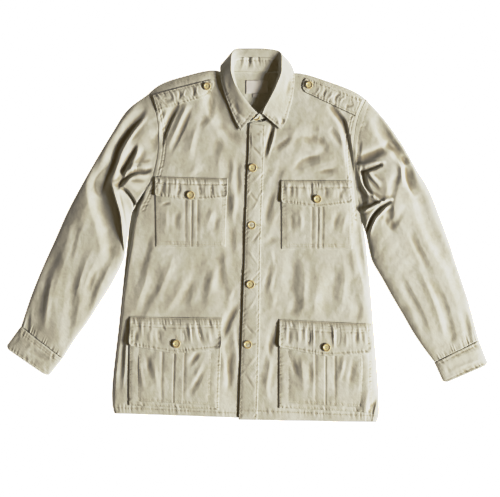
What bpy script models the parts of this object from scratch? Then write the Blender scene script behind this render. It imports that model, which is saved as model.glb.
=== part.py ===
# Safari jacket laid flat on its back: every cut piece of cloth and every button is its own object.
# +X is the wearer's left, +Y points to the collar, +Z is up. Tables are in millimetres.
# "right" and "left" in the names are the wearer's.

import math

import bmesh
import bpy
from mathutils import Vector
from mathutils.bvhtree import BVHTree

MM = 0.001
OBJECT_NAME = "safari_jacket"

# Cloth
WALL = 1.3  # thickness of every wall of cloth
GAP = 0.35  # between a piece and the one it lies on
SEAM = 0.45  # between two panels sewn edge to edge
LABEL_WALL = 1.0
SAME_POINT = 0.01  # points this close are one

# Heights of the fronts' underside above the surface
SEWN_LEVEL = WALL + GAP  # where a front is sewn to the back
FRONT_RISE = 9.4  # extra height in the middle of a front
SIDE_ROUND = 9.0  # how fast a front rises from its side seam
SHOULDER_ROUND = 15.0  # how fast it falls to the shoulder seam
ARMHOLE_LEVEL = 0.8  # share of the rise that the armhole's edge keeps
HEM_LEVEL = 0.45  # share of the rise at the hem
HEM_Y = -408
HEM_REACH = 80  # length over which the fronts rise from the hem
LOWEST_FRONT = 3.65  # no fold brings a front lower than this, away from its seams
LAP_DROP = 2.0  # how much the lower front dips under the upper one

# Rows of a front, counted from the hem
ROW_COUNT = 32
POCKET_FOOT_ROW = 1
LOWER_FLAP_ROW = 9
CHEST_FOOT_ROW = 15
UNDERARM_ROW = 18
CHEST_FLAP_ROW = 23
PLACKET_TOP_ROW = 27
ARMHOLE_ROWS = 4  # rows over which a front's side rises from the side seam to the armhole

# Columns of a front, as shares of its four stretches
SIDE_COLUMNS = (0, 0.34, 0.67)
LOWER_POCKET_COLUMNS = (0, 0.093, 0.23, 0.38, 0.5, 0.61, 0.76, 0.907, 1)
CHEST_POCKET_COLUMNS = (0, 0.12, 0.27, 0.43, 0.51, 0.585, 0.74, 0.88, 1)
CENTRE_COLUMNS = (0.34, 0.67)
EDGE_COLUMNS = (0, 0.5, 1)
POCKET_FIRST = len(SIDE_COLUMNS)
POCKET_LAST = POCKET_FIRST + len(LOWER_POCKET_COLUMNS) - 1
POCKET_CENTRE = (POCKET_FIRST + POCKET_LAST) // 2
PLACKET_FIRST = POCKET_LAST + len(CENTRE_COLUMNS) + 1

# row, side seam x, y, pocket's outer x, pocket's inner x, line beside the front edge x, front edge x, y, bulge
RIGHT_FRONT = (
    (0, -292, -392, -259, -61, -18, 18, -403, 0),
    (1, -295, -372, -260, -61, -17, 18, -388, 0),
    (9, -277, -179, -257, -53, -10, 26, -183, 0),
    (15, -261, -24, -200, -47, -7, 31, -27, 0),
    (18, -253, 49, -201, -45, -5, 35, 45, 0),
    (23, -208, 129, -202, -42, -3, 38, 123, 0),
    (26, -195, 198, -171, -48, 1, 41, 188, 0),
    (27, -194, 221, -164, -54, 6, 42, 240, 0),
    (28, -196, 244, -166, -68, -15, 7, 260, 0),
    (29, -200, 267, -168, -79, -32, -15, 283, 3),
    (30, -207, 289, -172, -90, -50, -34, 317, 6),
    (31, -214, 304, -175, -96, -61, -45, 344, 12),
    (32, -217, 311, -178, -101, -65, -49, 357, 18),
)
LEFT_FRONT = (
    (0, 286, -411.6, 273, 70, 23, -18, -406, 0),
    (1, 291, -391, 275, 70, 24, -17, -375, 0),
    (9, 278, -195, 274, 71, 29, -10, -181, 0),
    (15, 263, -30, 232, 76, 31, -5, -30, 0),
    (18, 254, 29, 234, 76, 33, -3, 29, 0),
    (23, 239, 120, 232, 75, 36, 0, 121, 0),
    (26, 234, 189, 216, 80, 39, 4, 188, 0),
    (27, 236, 212, 212, 82, 41, 6, 246, 0),
    (28, 239, 235, 210, 89, 56, 38, 251, 0),
    (29, 244, 257, 210, 102, 78, 63, 282, 2),
    (30, 252, 278, 214, 117, 93, 81, 317, 4),
    (31, 259, 292, 221, 130, 106, 93, 344, 8),
    (32, 263, 299, 223, 137, 111, 97, 357, 11),
)

# Back neck of the back panel, from the right shoulder to the left: x, y
BACK_NECK = ((-46, 360), (-28, 358), (8, 357), (45, 357), (75, 358), (92, 360))
BACK_HEM = ((18, -400), (-140, -394))
BACK_SIDE_STEP = 3  # rows of a front between two points of the back's side seam
BACK_ARM_STEP = 2

# Sleeves, from the armhole to the cuff: station, outer x, y, inner x, y, crown height
RIGHT_SLEEVE = (
    (0, -217, 311, -253, 49, 12),
    (1, -263, 276, -261, 14, 14),
    (2, -299, 221, -266, -17, 15.5),
    (3, -332, 166, -271, -48, 16),
    (4, -365, 108, -297, -104, 15.5),
    (5, -395, 51, -325, -149, 14.5),
    (6, -422, -10, -351, -190, 13.5),
    (7, -450, -72, -376, -224, 12.5),
    (8, -475, -134, -391, -247, 11.5),
    (9, -497, -200, -406, -271, 10),
)
LEFT_SLEEVE = (
    (0, 263, 299, 254, 29, 12),
    (1, 304, 254, 264, 1, 14),
    (2, 342, 201, 269, -26, 15.5),
    (3, 372, 148, 276, -54, 16),
    (4, 401, 100, 298, -93, 15.5),
    (5, 425, 40, 322, -136, 14.5),
    (6, 446, -17, 345, -175, 13.5),
    (7, 465, -76, 368, -215, 12.5),
    (8, 487, -142, 389, -246, 11.5),
    (9, 511, -231, 414, -279, 10),
)
# Cuffs, from the seam to the opening: station, outer x, y, inner x, y, crown height
RIGHT_CUFF = ((0, -497.5, -200.5, -406.5, -271.5, 10), (1, -531.5, -247, -438, -311, 8.5))
LEFT_CUFF = ((0, 511.5, -232, 414, -280, 10), (1, 532, -284, 435, -326, 8.5))
EDGE_LEVEL = 3.0  # height at which a tube's side is widest
LOWEST_TUBE = 4.6  # no fold brings a tube's top lower than this
ARMHOLE_STEPS = ROW_COUNT - UNDERARM_ROW
SLEEVE_STEP = 0.6  # stations between two rings
CUFF_STEP = 0.25
SEAM_REACH = 1.3  # stations over which a sleeve's top takes its own height after the armhole's
SIDE_INSET = 1.2  # how much further than its top a tube's inner wall lies from its sides
SIDE_SHARE = 0.015  # where a tube's underside starts, as a share of its width
ARMHOLE_REACH = 2.4  # stations over which the armhole's curve straightens out
GATHERS = 7  # at each cuff
GATHER_DEPTH = 0.9
GATHER_REACH = 0.9  # stations that they run up from the cuff

# Folds in the solids: height (negative for a valley), half width, points x, y
FOLDS = (
    (-5, 15, ((-226, 289), (-252, 240), (-285, 190), (-298, 148), (-313, 117))),  # right sleeve crown
    (-7, 26, ((-301, 130), (-306, 67), (-298, 12), (-279, -50))),  # right sleeve hollow
    (-4.5, 13, ((-246, 199), (-250, 181), (-268, 157), (-277, 122))),  # right sleeve pleat
    (6, 15, ((-213, 130), (-252, 119), (-283, 106))),  # right underarm lap
    (5, 12, ((-283, 100), (-270, 56), (-264, 8))),  # right underarm edge
    (-4, 14, ((-303, -41), (-323, -84), (-340, -123), (-351, -162))),  # right elbow
    (-4, 14, ((-422, -43), (-442, -84), (-457, -149), (-465, -205))),  # right forearm
    (-3, 12, ((-381, -109), (-389, -186), (-396, -232))),  # right wrist
    (-5, 14, ((279, 276), (300, 236), (323, 205), (348, 174))),  # left sleeve crown
    (-4, 16, ((350, 160), (357, 117), (381, 82), (427, -35), (454, -76))),  # left sleeve outer
    (-6, 14, ((247, 158), (282, 166), (317, 188))),  # left armpit upper
    (5, 11, ((244, 146), (260, 102), (293, 73))),  # left armpit ridge
    (-6, 12, ((262, 136), (279, 104))),  # left armpit hollow
    (4, 10, ((249, 52), (292, 72), (319, 79))),  # left armpit lip
    (-6, 14, ((278, 42), (304, 58))),  # left armpit lower
    (-5, 13, ((228, 212), (232, 186), (240, 140), (246, 80), (249, 40))),  # left side valley
    (-5, 13, ((-153, 283), (-171, 248), (-184, 215), (-189, 194))),  # right shoulder valley
    (2.5, 15, ((-131, 288), (-152, 240), (-168, 202))),  # right shoulder ridge
    (-2.5, 16, ((-81, 304), (-83, 265), (-105, 243))),  # right collar dip
    (-3, 17, ((-208, 16), (-231, -68), (-238, -130))),  # right side drape
    (-2.5, 15, ((-170, -45), (-185, -100), (-200, -160))),  # right waist drape
    (-2, 14, ((-22, -147), (-39, -189), (-52, -230))),  # right hem drape
    (-2.5, 15, ((155, 220), (165, 195), (174, 170))),  # left yoke drape
    (-2.5, 14, ((104, 140), (119, 160), (158, 168))),  # left chest drape
    (-3, 10, ((58, 234), (50, 200), (42, 172))),  # left placket drape
    (-2.5, 14, ((118, -120), (104, -173))),  # left waist drape
    (-3, 13, ((236, -130), (247, -172))),  # left hip drape
)
FOLD_FADE = 26  # length over which a fold dies out at each end

# Collar sections, from its right end round the neck to its left end:
# neck seam x, y, z, stand's upper edge x, y, z, roll line x, y, z, leaf's edge x, y, z
COLLAR = (
    (34, 250, 9.4, 26, 262, 16, 23, 268, 19, -13, 230, 15.6),
    (7, 262, 11, 3, 283, 19, 4, 288, 22, -24, 249, 15),
    (-13, 286, 11.5, -14, 309, 20, -14, 312, 25, -38, 282, 15),
    (-31, 318, 11.5, -24, 337, 20, -28, 336, 27, -49, 313, 15),
    (-42, 344, 9, -28, 361, 18, -35, 364, 26, -57, 346, 14),
    (-44, 356, 5.5, -26, 381, 14, -34, 393, 19, -58, 369, 10),
    (-34, 361, 3.4, -15, 391, 10, -24, 409, 10, -39, 386, 2.6),
    (-6, 360, 3.2, 3, 392, 8.5, 1, 411, 7, 1, 381, 1.6),
    (20, 359, 3.2, 20, 392, 8.5, 23, 411, 7, 23, 381, 1.6),
    (51, 360, 3.2, 47, 391, 8.5, 48, 409.5, 7.5, 47, 381, 1.6),
    (81, 361, 3.4, 64, 388, 11, 71, 404, 11, 86, 386, 2.6),
    (90, 357, 5.5, 70, 377, 15, 76, 390, 20, 100, 369, 10),
    (89, 343, 9, 70, 357, 19, 76, 362, 27, 105, 346, 14),
    (77, 318, 11.5, 62, 331, 21, 67, 333, 28, 102, 309, 15),
    (59, 285, 11.5, 51, 304, 20, 52, 302, 26, 94, 276, 15.6),
    (36, 256, 13, 37, 280, 19.4, 40, 280, 24, 86, 249, 16),
    (9, 250, 15, 23, 262, 19.4, 34, 265, 24, 74, 232, 16.6),
)
COLLAR_STEP = 0.5  # sections between two rings
ROLL_RADIUS = 2.3
LEAF_SHARES = (0, 0.35, 0.7, 1)  # the leaf's rows of points, from its roll to its edge
LEAF_LEFT_START = (31.5, 271, 22.2)  # where the leaf starts at its left end, behind the stand's button tab
STAND_BOW = 0.8
SHARPEST_SEAM = 2.2  # the most that the leaf bends from the stand at their seam, in radians

# Pockets
CHEST_PUFF = 1.4
LOWER_PUFF = 1.2
PLEAT_DEPTH = 1.0
MOUTH_DROP = 0.75  # rows from a flap's sewn edge down to the pocket's mouth
GUSSET_TUCK = 0.07  # share of a lower pocket's width that the bellows reach in under its face
GUSSET_LIFT = 0.3  # extra space under the bellows
FACE_FOOT_ROW = 1.42  # row of a lower pocket face's bottom edge
CHEST_FILL = (0.02, 0.72)  # a pocket's fullness from foot to mouth, as shares of half a turn
LOWER_FILL = (0.05, 0.75)
FILL_SHAPE = 0.7  # powers that flatten the top of a pocket's curve, along it and across it
PUFF_SHAPE = 0.6
# Flaps: sewn row, rows down to the corners and to the point, lift at the corners
CHEST_FLAP = {"sewn": CHEST_FLAP_ROW, "corner": 2.75, "point": 3.4, "lift": 1.6}
LOWER_FLAP = {"sewn": LOWER_FLAP_ROW, "corner": 2.5, "point": 3.1, "lift": 3.0}
FLAP_SEWN_BAND = 0.45  # rows that a flap takes to fold down from its seam
FLAP_STEPS = (0.3, 0.55, 0.8, 1)  # then its rows of points, as shares of its depth
FLAP_CLEAR = 0.5  # how far a flap clears its pocket at the seam, and how much more at its edge
FLAP_BELLY = 0.9

# Shoulder straps: x, y of the corners at the armhole (upper, lower), then near the tip, and the tip
RIGHT_STRAP = ((-208, 309), (-197, 273), (-86, 341), (-98, 302), (-74, 327))
LEFT_STRAP = ((256, 298), (240, 262), (138, 343), (130, 314), (124, 335))
STRAP_STEPS = 10
STRAP_LANES = 3
STRAP_GAP = 1.3
STRAP_TIP = 0.14  # width of a strap's tip as a share of the strap's

# Label and size tab inside the neck: x, y of the lower left and upper right corners
NECK_LABEL = (-2, 313, 47, 342)
SIZE_TAB = (13, 304, 28, 312.5)

# Buttons: name, x, y, diameter
BUTTONS = (
    ("button_collar", 21.5, 260, 17),
    ("button_front_1", 13, 148, 19),
    ("button_front_2", 11, 22, 19),
    ("button_front_3", 8, -108, 19),
    ("button_front_4", 2, -240, 19),
    ("button_chest_right", -123, 88, 18),
    ("button_chest_left", 155, 79, 18),
    ("button_lower_right", -154, -238, 18),
    ("button_lower_left", 175, -246, 18),
    ("button_shoulder_right", -87, 327, 16.5),
    ("button_shoulder_left", 137, 330, 16.5),
)
BUTTON_SIDES = 14
BUTTON_SUPPORTS = 8  # points round its edge where a button looks for the cloth under it
BUTTON_CREASE = 40  # degrees above which an edge of a button is sharp
# radius as a share of the button's, height in mm
BUTTON_PROFILE = ((0.0, 0.0), (0.84, 0.0), (1.0, 0.9), (1.0, 1.9), (0.86, 2.9), (0.62, 2.2), (0.0, 2.0))

CLOTH_COLOUR = (0.55, 0.50, 0.39, 1)
CLOTH_ROUGHNESS = 0.9
BUTTON_COLOUR = (0.68, 0.55, 0.27, 1)
BUTTON_ROUGHNESS = 0.35
LABEL_COLOUR = (0.75, 0.74, 0.72, 1)


def clear_scene():
    for item in list(bpy.data.objects):
        bpy.data.objects.remove(item, do_unlink=True)
    parts = bpy.data.collections.new(OBJECT_NAME)
    bpy.context.scene.collection.children.link(parts)
    return parts


PARTS = clear_scene()
SURFACES = {}  # name of a finished sheet: its tree, for what lies on it


def new_material(name, colour, roughness):
    material = bpy.data.materials.new(name)
    material.use_nodes = True
    shader = material.node_tree.nodes["Principled BSDF"]
    shader.inputs["Base Color"].default_value = colour
    shader.inputs["Roughness"].default_value = roughness
    shader.inputs["Metallic"].default_value = 0
    return material


def smooth(value):
    value = min(max(value, 0), 1)
    return value * value * (3 - 2 * value)


def mix(a, b, share):
    return a + (b - a) * share


def through(table, key):
    """The table's row at any key: a smooth curve through its rows, keyed by their first column."""
    keys = [row[0] for row in table]
    low = max(i for i in range(len(keys) - 1) if i == 0 or keys[i] <= key)
    slopes = [slope_at(table, i) for i in (low, low + 1)]
    width = keys[low + 1] - keys[low]
    t = (key - keys[low]) / width
    result = []
    for column in range(1, len(table[0])):
        start, end = table[low][column], table[low + 1][column]
        first, last = (slope[column] * width for slope in slopes)
        result.append(
            start * (2 * t**3 - 3 * t**2 + 1)
            + first * (t**3 - 2 * t**2 + t)
            + end * (3 * t**2 - 2 * t**3)
            + last * (t**3 - t**2)
        )
    return result


def slope_at(table, i):
    """Slope of each column at row i. Inside the table it is near the flatter side's, so nothing overshoots."""
    before = table[max(i - 1, 0)]
    here = table[i]
    after = table[min(i + 1, len(table) - 1)]
    slopes = [0]
    for column in range(1, len(here)):
        sides = [
            (b[column] - a[column]) / (b[0] - a[0])
            for a, b in ((before, here), (here, after))
            if b[0] > a[0]
        ]
        if len(sides) == 2 and sides[0] * sides[1] <= 0:
            slopes.append(0)
        elif len(sides) == 2:
            slopes.append(2 * sides[0] * sides[1] / (sides[0] + sides[1]))
        else:
            slopes.append(sides[0])
    return slopes


def fold_height(x, y):
    """Sum of the folds at a point seen from above."""
    total = 0
    here = Vector((x, y))
    for height, half_width, points in FOLDS:
        points = [Vector(point) for point in points]
        lengths = [(b - a).length for a, b in zip(points, points[1:])]
        nearest, along, passed = half_width, 0, 0
        for a, b, length in zip(points, points[1:], lengths):
            share = min(max((here - a).dot(b - a) / length**2, 0), 1)
            distance = (here - a.lerp(b, share)).length
            if distance < nearest:
                nearest, along = distance, passed + share * length
            passed += length
        if nearest < half_width:
            end = min(along, passed - along)
            across = (1 - (nearest / half_width) ** 2) ** 2
            total += height * across * mix(0.35, 1, smooth(end / FOLD_FADE))
    return total


def add_object(name, bm, material):
    bmesh.ops.recalc_face_normals(bm, faces=bm.faces)
    mesh = bpy.data.meshes.new(name)
    bm.to_mesh(mesh)
    bm.free()
    mesh.materials.append(material)
    item = bpy.data.objects.new(name, mesh)
    PARTS.objects.link(item)
    return item


def grid_mesh(rows):
    """A sheet of faces through rows of points in millimetres."""
    bm = bmesh.new()
    bmesh.ops.create_grid(bm, x_segments=len(rows[0]) - 1, y_segments=len(rows) - 1, size=1)
    points = [point for row in rows for point in row]
    bm.verts.ensure_lookup_table()
    for vert, point in zip(bm.verts, points, strict=True):
        vert.co = Vector(point) * MM
    return bm


def remember_surface(name, rows, thickness):
    top = [[(x, y, z + thickness) for x, y, z in row] for row in rows]
    bm = grid_mesh(top)
    SURFACES[name] = BVHTree.FromBMesh(bm)
    bm.free()


def rest_height(x, y):
    """Height in millimetres of the highest finished sheet under a point, or of the back where there is none."""
    above = Vector((x * MM, y * MM, 1))
    hits = [tree.ray_cast(above, Vector((0, 0, -1)))[0] for tree in SURFACES.values()]
    return max((hit.z / MM for hit in hits if hit), default=WALL)


def make_sheet(name, rows, material):
    """A wall of cloth through rows of underside points, thickened straight up so it never crosses itself."""
    remember_surface(name, rows, WALL)
    bm = grid_mesh(rows)
    made = bmesh.ops.extrude_face_region(bm, geom=bm.faces[:], use_keep_orig=True)
    lifted = [part for part in made["geom"] if isinstance(part, bmesh.types.BMVert)]
    bmesh.ops.translate(bm, verts=lifted, vec=(0, 0, WALL * MM))
    add_object(name, bm, material)


def column_places(row):
    """For each column of a front, which of its four stretches it is in and how far along."""
    chest = smooth((row - LOWER_FLAP_ROW) / (CHEST_FOOT_ROW - LOWER_FLAP_ROW))
    places = [(0, share) for share in SIDE_COLUMNS]
    for low, high in zip(LOWER_POCKET_COLUMNS, CHEST_POCKET_COLUMNS):
        places.append((1, mix(low, high, chest)))
    places += [(2, share) for share in CENTRE_COLUMNS]
    places += [(3, share) for share in EDGE_COLUMNS]
    return places


def front_row(table, row):
    """Points x, y of one row of a front, from its side seam or armhole to its front edge."""
    side_x, side_y, outer, inner, beside, edge_x, edge_y, bulge = through(table, row)
    lines = (side_x, outer, inner, beside, edge_x)
    points = []
    for stretch, share in column_places(row):
        x = mix(lines[stretch], lines[stretch + 1], share)
        across = (x - side_x) / (edge_x - side_x)
        y = mix(side_y, edge_y, across) + bulge * (1 - (2 * across - 1) ** 4)
        points.append((x, y))
    return points


def lap_share(column):
    """How far a column of the right front is under the left one: none at its pocket, all at the lap."""
    return min(max((column - POCKET_LAST) / (PLACKET_FIRST - POCKET_LAST), 0), 1)


def front_grid(table, under):
    """Rows of underside points of a front."""
    flat = [front_row(table, row) for row in range(ROW_COUNT + 1)]
    grid = []
    for row, points in enumerate(flat):
        armhole = smooth((row - UNDERARM_ROW) / ARMHOLE_ROWS) * ARMHOLE_LEVEL
        side = points[0][0]
        heights = []
        for column, (x, y) in enumerate(points):
            hem = mix(HEM_LEVEL, 1, smooth((y - HEM_Y) / HEM_REACH))
            from_side = 1 - math.exp(-abs(x - side) / SIDE_ROUND)
            level = mix(from_side, 1, armhole)
            level *= 1 - math.exp(-max(flat[-1][column][1] - y, 0) / SHOULDER_ROUND)
            z = SEWN_LEVEL + FRONT_RISE * level * hem + fold_height(x, y) * level
            z = max(z, mix(SEWN_LEVEL, LOWEST_FRONT + 0.55, level))
            if under:
                z -= LAP_DROP * lap_share(column) * level
            heights.append((x, y, z))
        grid.append(heights)
    return grid


def on_panel(grid, row, column):
    """A point on a front's underside, on one of its columns, at any height between its rows."""
    low = min(int(row), ROW_COUNT - 1)
    a, b = Vector(grid[low][column]), Vector(grid[low + 1][column])
    return a.lerp(b, row - low)


def laid_on(grid, places, lifts):
    """Rows of points moved out from a front: places gives row and column, lifts the space over its top."""
    rows = []
    for place_row, lift_row in zip(places, lifts, strict=True):
        line = []
        for (row, column), lift in zip(place_row, lift_row, strict=True):
            point = on_panel(grid, row, column)
            line.append((point.x, point.y, point.z + WALL + lift))
        rows.append(line)
    return rows


def pleat_puff(column, height):
    """How far a pocket stands off, 0 at its sides; the centre column is the slit of its pleat."""
    share = (column - POCKET_FIRST) / (POCKET_LAST - POCKET_FIRST)
    puff = height * math.sin(math.pi * share) ** PUFF_SHAPE
    return max(puff - (PLEAT_DEPTH if column == POCKET_CENTRE else 0), 0)


def pocket_fill(limits, share):
    """How full a pocket is on the way from its foot to its mouth."""
    return math.sin(math.pi * mix(*limits, share)) ** FILL_SHAPE


def make_chest_pocket(name, grid, material):
    columns = range(POCKET_FIRST, POCKET_LAST + 1)
    mouth = CHEST_FLAP_ROW - MOUTH_DROP
    steps = CHEST_FLAP_ROW - CHEST_FOOT_ROW
    places, lifts = [], []
    for step in range(steps):
        share = step / (steps - 1)
        row = CHEST_FOOT_ROW + step if step < steps - 1 else mouth
        fill = pocket_fill(CHEST_FILL, share)
        places.append([(row, column) for column in columns])
        lifts.append([GAP + pleat_puff(column, CHEST_PUFF) * fill for column in columns])
    make_sheet(name, laid_on(grid, places, lifts), material)


def make_lower_face(name, grid, material):
    """The outer face of a bellows pocket, inside its folded gusset."""
    columns = range(POCKET_FIRST + 1, POCKET_LAST)
    mouth = LOWER_FLAP_ROW - MOUTH_DROP
    rows = [FACE_FOOT_ROW, *range(2, LOWER_FLAP_ROW - 1), mouth]
    places, lifts = [], []
    for index, row in enumerate(rows):
        fill = pocket_fill(LOWER_FILL, index / (len(rows) - 1))
        places.append([(row, column) for column in columns])
        over_gusset = 2 * GAP + GUSSET_LIFT + WALL
        lifts.append([over_gusset + pleat_puff(column, LOWER_PUFF) * fill for column in columns])
    make_sheet(name, laid_on(grid, places, lifts), material)


def make_gusset(name, grid, material):
    """The bellows: a strip that runs down one side of a lower pocket, along its foot and up the other."""
    mouth = LOWER_FLAP_ROW - MOUTH_DROP
    inner_left, inner_right = POCKET_FIRST + 1, POCKET_LAST - 1
    inner_foot = 2 * FACE_FOOT_ROW - POCKET_FOOT_ROW
    down = [mouth, *range(LOWER_FLAP_ROW - 2, POCKET_FOOT_ROW, -1)]
    foot = range(inner_left + 1, inner_right)
    outer = [(row, POCKET_FIRST) for row in [*down, POCKET_FOOT_ROW]]
    inner = [(row, inner_left) for row in [*down, inner_foot]]
    outer += [(POCKET_FOOT_ROW, column) for column in foot]
    inner += [(inner_foot, column) for column in foot]
    outer += [(row, POCKET_LAST) for row in [POCKET_FOOT_ROW, *reversed(down)]]
    inner += [(row, inner_right) for row in [inner_foot, *reversed(down)]]
    outer_rows, inner_rows = (
        laid_on(grid, [places], [[GAP + GUSSET_LIFT] * len(places)])[0]
        for places in (outer, inner)
    )
    tucked = [
        tuple(Vector(a).lerp(Vector(b), 1 + GUSSET_TUCK))
        for a, b in zip(outer_rows, inner_rows)
    ]
    make_sheet(name, [outer_rows, tucked], material)


def make_flap(name, grid, flap, over_pocket, material):
    """A flap sewn along its top edge, pointed at its middle, that laps over a pocket of the given build-up."""
    places, lifts = [], []
    for step in range(len(FLAP_STEPS) + 2):
        share = step / (len(FLAP_STEPS) + 1)
        row_places, row_lifts = [], []
        for column in range(POCKET_FIRST, POCKET_LAST + 1):
            to_side = abs(column - POCKET_CENTRE) / (POCKET_LAST - POCKET_CENTRE)
            depth = mix(flap["point"], flap["corner"], to_side)
            drops = [0, FLAP_SEWN_BAND, *[depth * part for part in FLAP_STEPS]]
            corner = flap["lift"] * to_side**2 * share**2
            bellied = over_pocket + FLAP_CLEAR + FLAP_BELLY * share + corner
            row_places.append((flap["sewn"] - drops[step], column))
            row_lifts.append(GAP if step == 0 else bellied)
        places.append(row_places)
        lifts.append(row_lifts)
    make_sheet(name, laid_on(grid, places, lifts), material)


def make_placket(grid, material):
    columns = range(PLACKET_FIRST, PLACKET_FIRST + len(EDGE_COLUMNS))
    places = [[(row, column) for column in columns] for row in range(PLACKET_TOP_ROW + 1)]
    lifts = [[GAP] * len(columns) for _ in places]
    make_sheet("placket", laid_on(grid, places, lifts), material)


def strap_points(corners):
    upper, lower, upper_tip, lower_tip, tip = (Vector(corner) for corner in corners)
    rows = []
    for step in range(STRAP_STEPS):
        share = step / (STRAP_STEPS - 1)
        a, b = upper.lerp(upper_tip, share), lower.lerp(lower_tip, share)
        rows.append([a.lerp(b, lane / STRAP_LANES) for lane in range(STRAP_LANES + 1)])
    last = rows[-1]
    rows.append([tip.lerp(point, STRAP_TIP) for point in last])
    return rows


def make_strap(name, corners, material):
    rows = [
        [(point.x, point.y, rest_height(point.x, point.y) + STRAP_GAP) for point in line]
        for line in strap_points(corners)
    ]
    make_sheet(name, rows, material)


def armhole_edge(grid):
    """Top points of a front's armhole, from the shoulder down to the underarm."""
    return [
        (grid[row][0][0], grid[row][0][1], grid[row][0][2] + WALL)
        for row in range(ROW_COUNT, UNDERARM_ROW - 1, -1)
    ]


def make_back(material, right_grid, left_grid):
    """The back, cut flat: side seams, armholes, shoulders, neck and hem."""
    side_rows = range(0, UNDERARM_ROW, BACK_SIDE_STEP)
    right_side = [right_grid[row][0][:2] for row in side_rows]
    left_side = [left_grid[row][0][:2] for row in side_rows]
    right_arm = [point[:2] for point in armhole_edge(right_grid)[::-BACK_ARM_STEP]]
    left_arm = [point[:2] for point in armhole_edge(left_grid)[::-BACK_ARM_STEP]]
    shoulder_columns = (POCKET_FIRST, POCKET_CENTRE, POCKET_LAST)
    right_shoulder = [right_grid[-1][column][:2] for column in shoulder_columns]
    left_shoulder = [left_grid[-1][column][:2] for column in shoulder_columns]
    outline = right_side + right_arm + right_shoulder + list(BACK_NECK)
    outline += left_shoulder[::-1] + left_arm[::-1] + left_side[::-1] + list(BACK_HEM)
    make_flat("back", outline, 0, WALL, material)


def make_flat(name, outline, floor, thickness, material):
    """A flat piece cut along an outline."""
    curve = bpy.data.curves.new(name, "CURVE")
    curve.dimensions = "2D"
    curve.fill_mode = "BOTH"
    curve.extrude = thickness / 2 * MM
    spline = curve.splines.new("POLY")
    spline.points.add(len(outline) - 1)
    for place, (x, y) in zip(spline.points, outline, strict=True):
        place.co = (x * MM, y * MM, 0, 1)
    spline.use_cyclic_u = True
    curve.materials.append(material)
    item = bpy.data.objects.new(name, curve)
    item.location.z = (floor + thickness / 2) * MM
    PARTS.objects.link(item)


def make_patch(name, corners, floor, material):
    left, low, right, high = corners
    outline = ((left, low), (right, low), (right, high), (left, high))
    make_flat(name, outline, floor, LABEL_WALL, material)


def crown_shape(share):
    """Height of a laid tube's top across its width, 0 at both sides and 1 over most of it."""
    return math.sqrt(max(1 - (2 * share - 1) ** 4, 0))


def ring_shares():
    """Where the points of a ring lie across the tube: over its top, then back along its underside."""
    top = [j / ARMHOLE_STEPS for j in range(ARMHOLE_STEPS + 1)]
    between = [j / ARMHOLE_STEPS for j in range(ARMHOLE_STEPS - 2, 0, -2)]
    bottom = [1 - SIDE_SHARE, *between, SIDE_SHARE]
    return top, bottom


def across_point(outer, inner, curve, share, keep):
    """A point across a tube. Near the armhole its line keeps the armhole's curve."""
    straight = outer.lerp(inner, share)
    if keep <= 0:
        return straight
    place = share * (len(curve) - 1)
    low = min(int(place), len(curve) - 2)
    on_curve = Vector(curve[low]).lerp(Vector(curve[low + 1]), place - low)
    chord = Vector(curve[0]).lerp(Vector(curve[-1]), share)
    return straight + (on_curve - chord) * keep


def tube_ring(table, station, curve, edge_heights, inset, gathers):
    """One ring of a tube's outer wall, or of its inner wall where inset is the wall's thickness."""
    outer_x, outer_y, inner_x, inner_y, crown = through(table, station)
    outer, inner = Vector((outer_x, outer_y)), Vector((inner_x, inner_y))
    keep = 1 - smooth(station / ARMHOLE_REACH) if curve else 0
    flat = [point[:2] for point in curve] if curve else []
    side = (inner - outer).normalized() * inset * SIDE_INSET
    top, bottom = ring_shares()
    ring = []
    for index, share in enumerate(top):
        point = across_point(outer, inner, flat, share, keep)
        point += side * (1 - 2 * share)
        height = mix(EDGE_LEVEL, crown, crown_shape(share))
        height += fold_height(point.x, point.y) * crown_shape(share)
        height = max(height, mix(EDGE_LEVEL, LOWEST_TUBE, crown_shape(share)))
        if edge_heights:
            seam = max(edge_heights[index], EDGE_LEVEL)
            height = mix(height, seam, 1 - smooth(station / SEAM_REACH))
        if gathers:
            wave = math.cos(2 * math.pi * share * GATHERS) * crown_shape(share)
            height += GATHER_DEPTH * wave * smooth(1 - (table[-1][0] - station) / GATHER_REACH)
        on_side = share in (0, 1)
        ring.append((point.x, point.y, height - (0 if on_side else inset)))
    for share in bottom:
        point = across_point(outer, inner, flat, share, keep)
        point += side * (1 - 2 * share)
        ring.append((point.x, point.y, inset))
    return ring


def make_tube(name, table, step, material, curve=None, gathers=False):
    """An open tube laid flat, with its hollow inside: the outer wall's rings, then the inner wall's back."""
    last = table[-1][0]
    count = round(last / step)
    stations = [last * i / count for i in range(count + 1)]
    heights = [point[2] for point in curve] if curve else None
    rings = [tube_ring(table, s, curve, heights, 0, gathers) for s in stations]
    rings += [tube_ring(table, s, curve, heights, WALL, gathers) for s in reversed(stations)]
    rings.append(rings[0])
    rows = [[*ring, ring[0]] for ring in rings]
    bm = grid_mesh(rows)
    bmesh.ops.remove_doubles(bm, verts=bm.verts, dist=SAME_POINT * MM)
    add_object(name, bm, material)


def sleeve_curve(grid, outward):
    """The armhole's edge of a front, moved off it by the seam's width."""
    return [(x + outward * SEAM, y, z) for x, y, z in armhole_edge(grid)]


def sleeve_table(table, outward):
    """A sleeve's stations, with its first one a seam's width off the armhole."""
    moved = [list(row) for row in table]
    for column in (1, 3):
        moved[0][column] += outward * SEAM
    return moved


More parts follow.
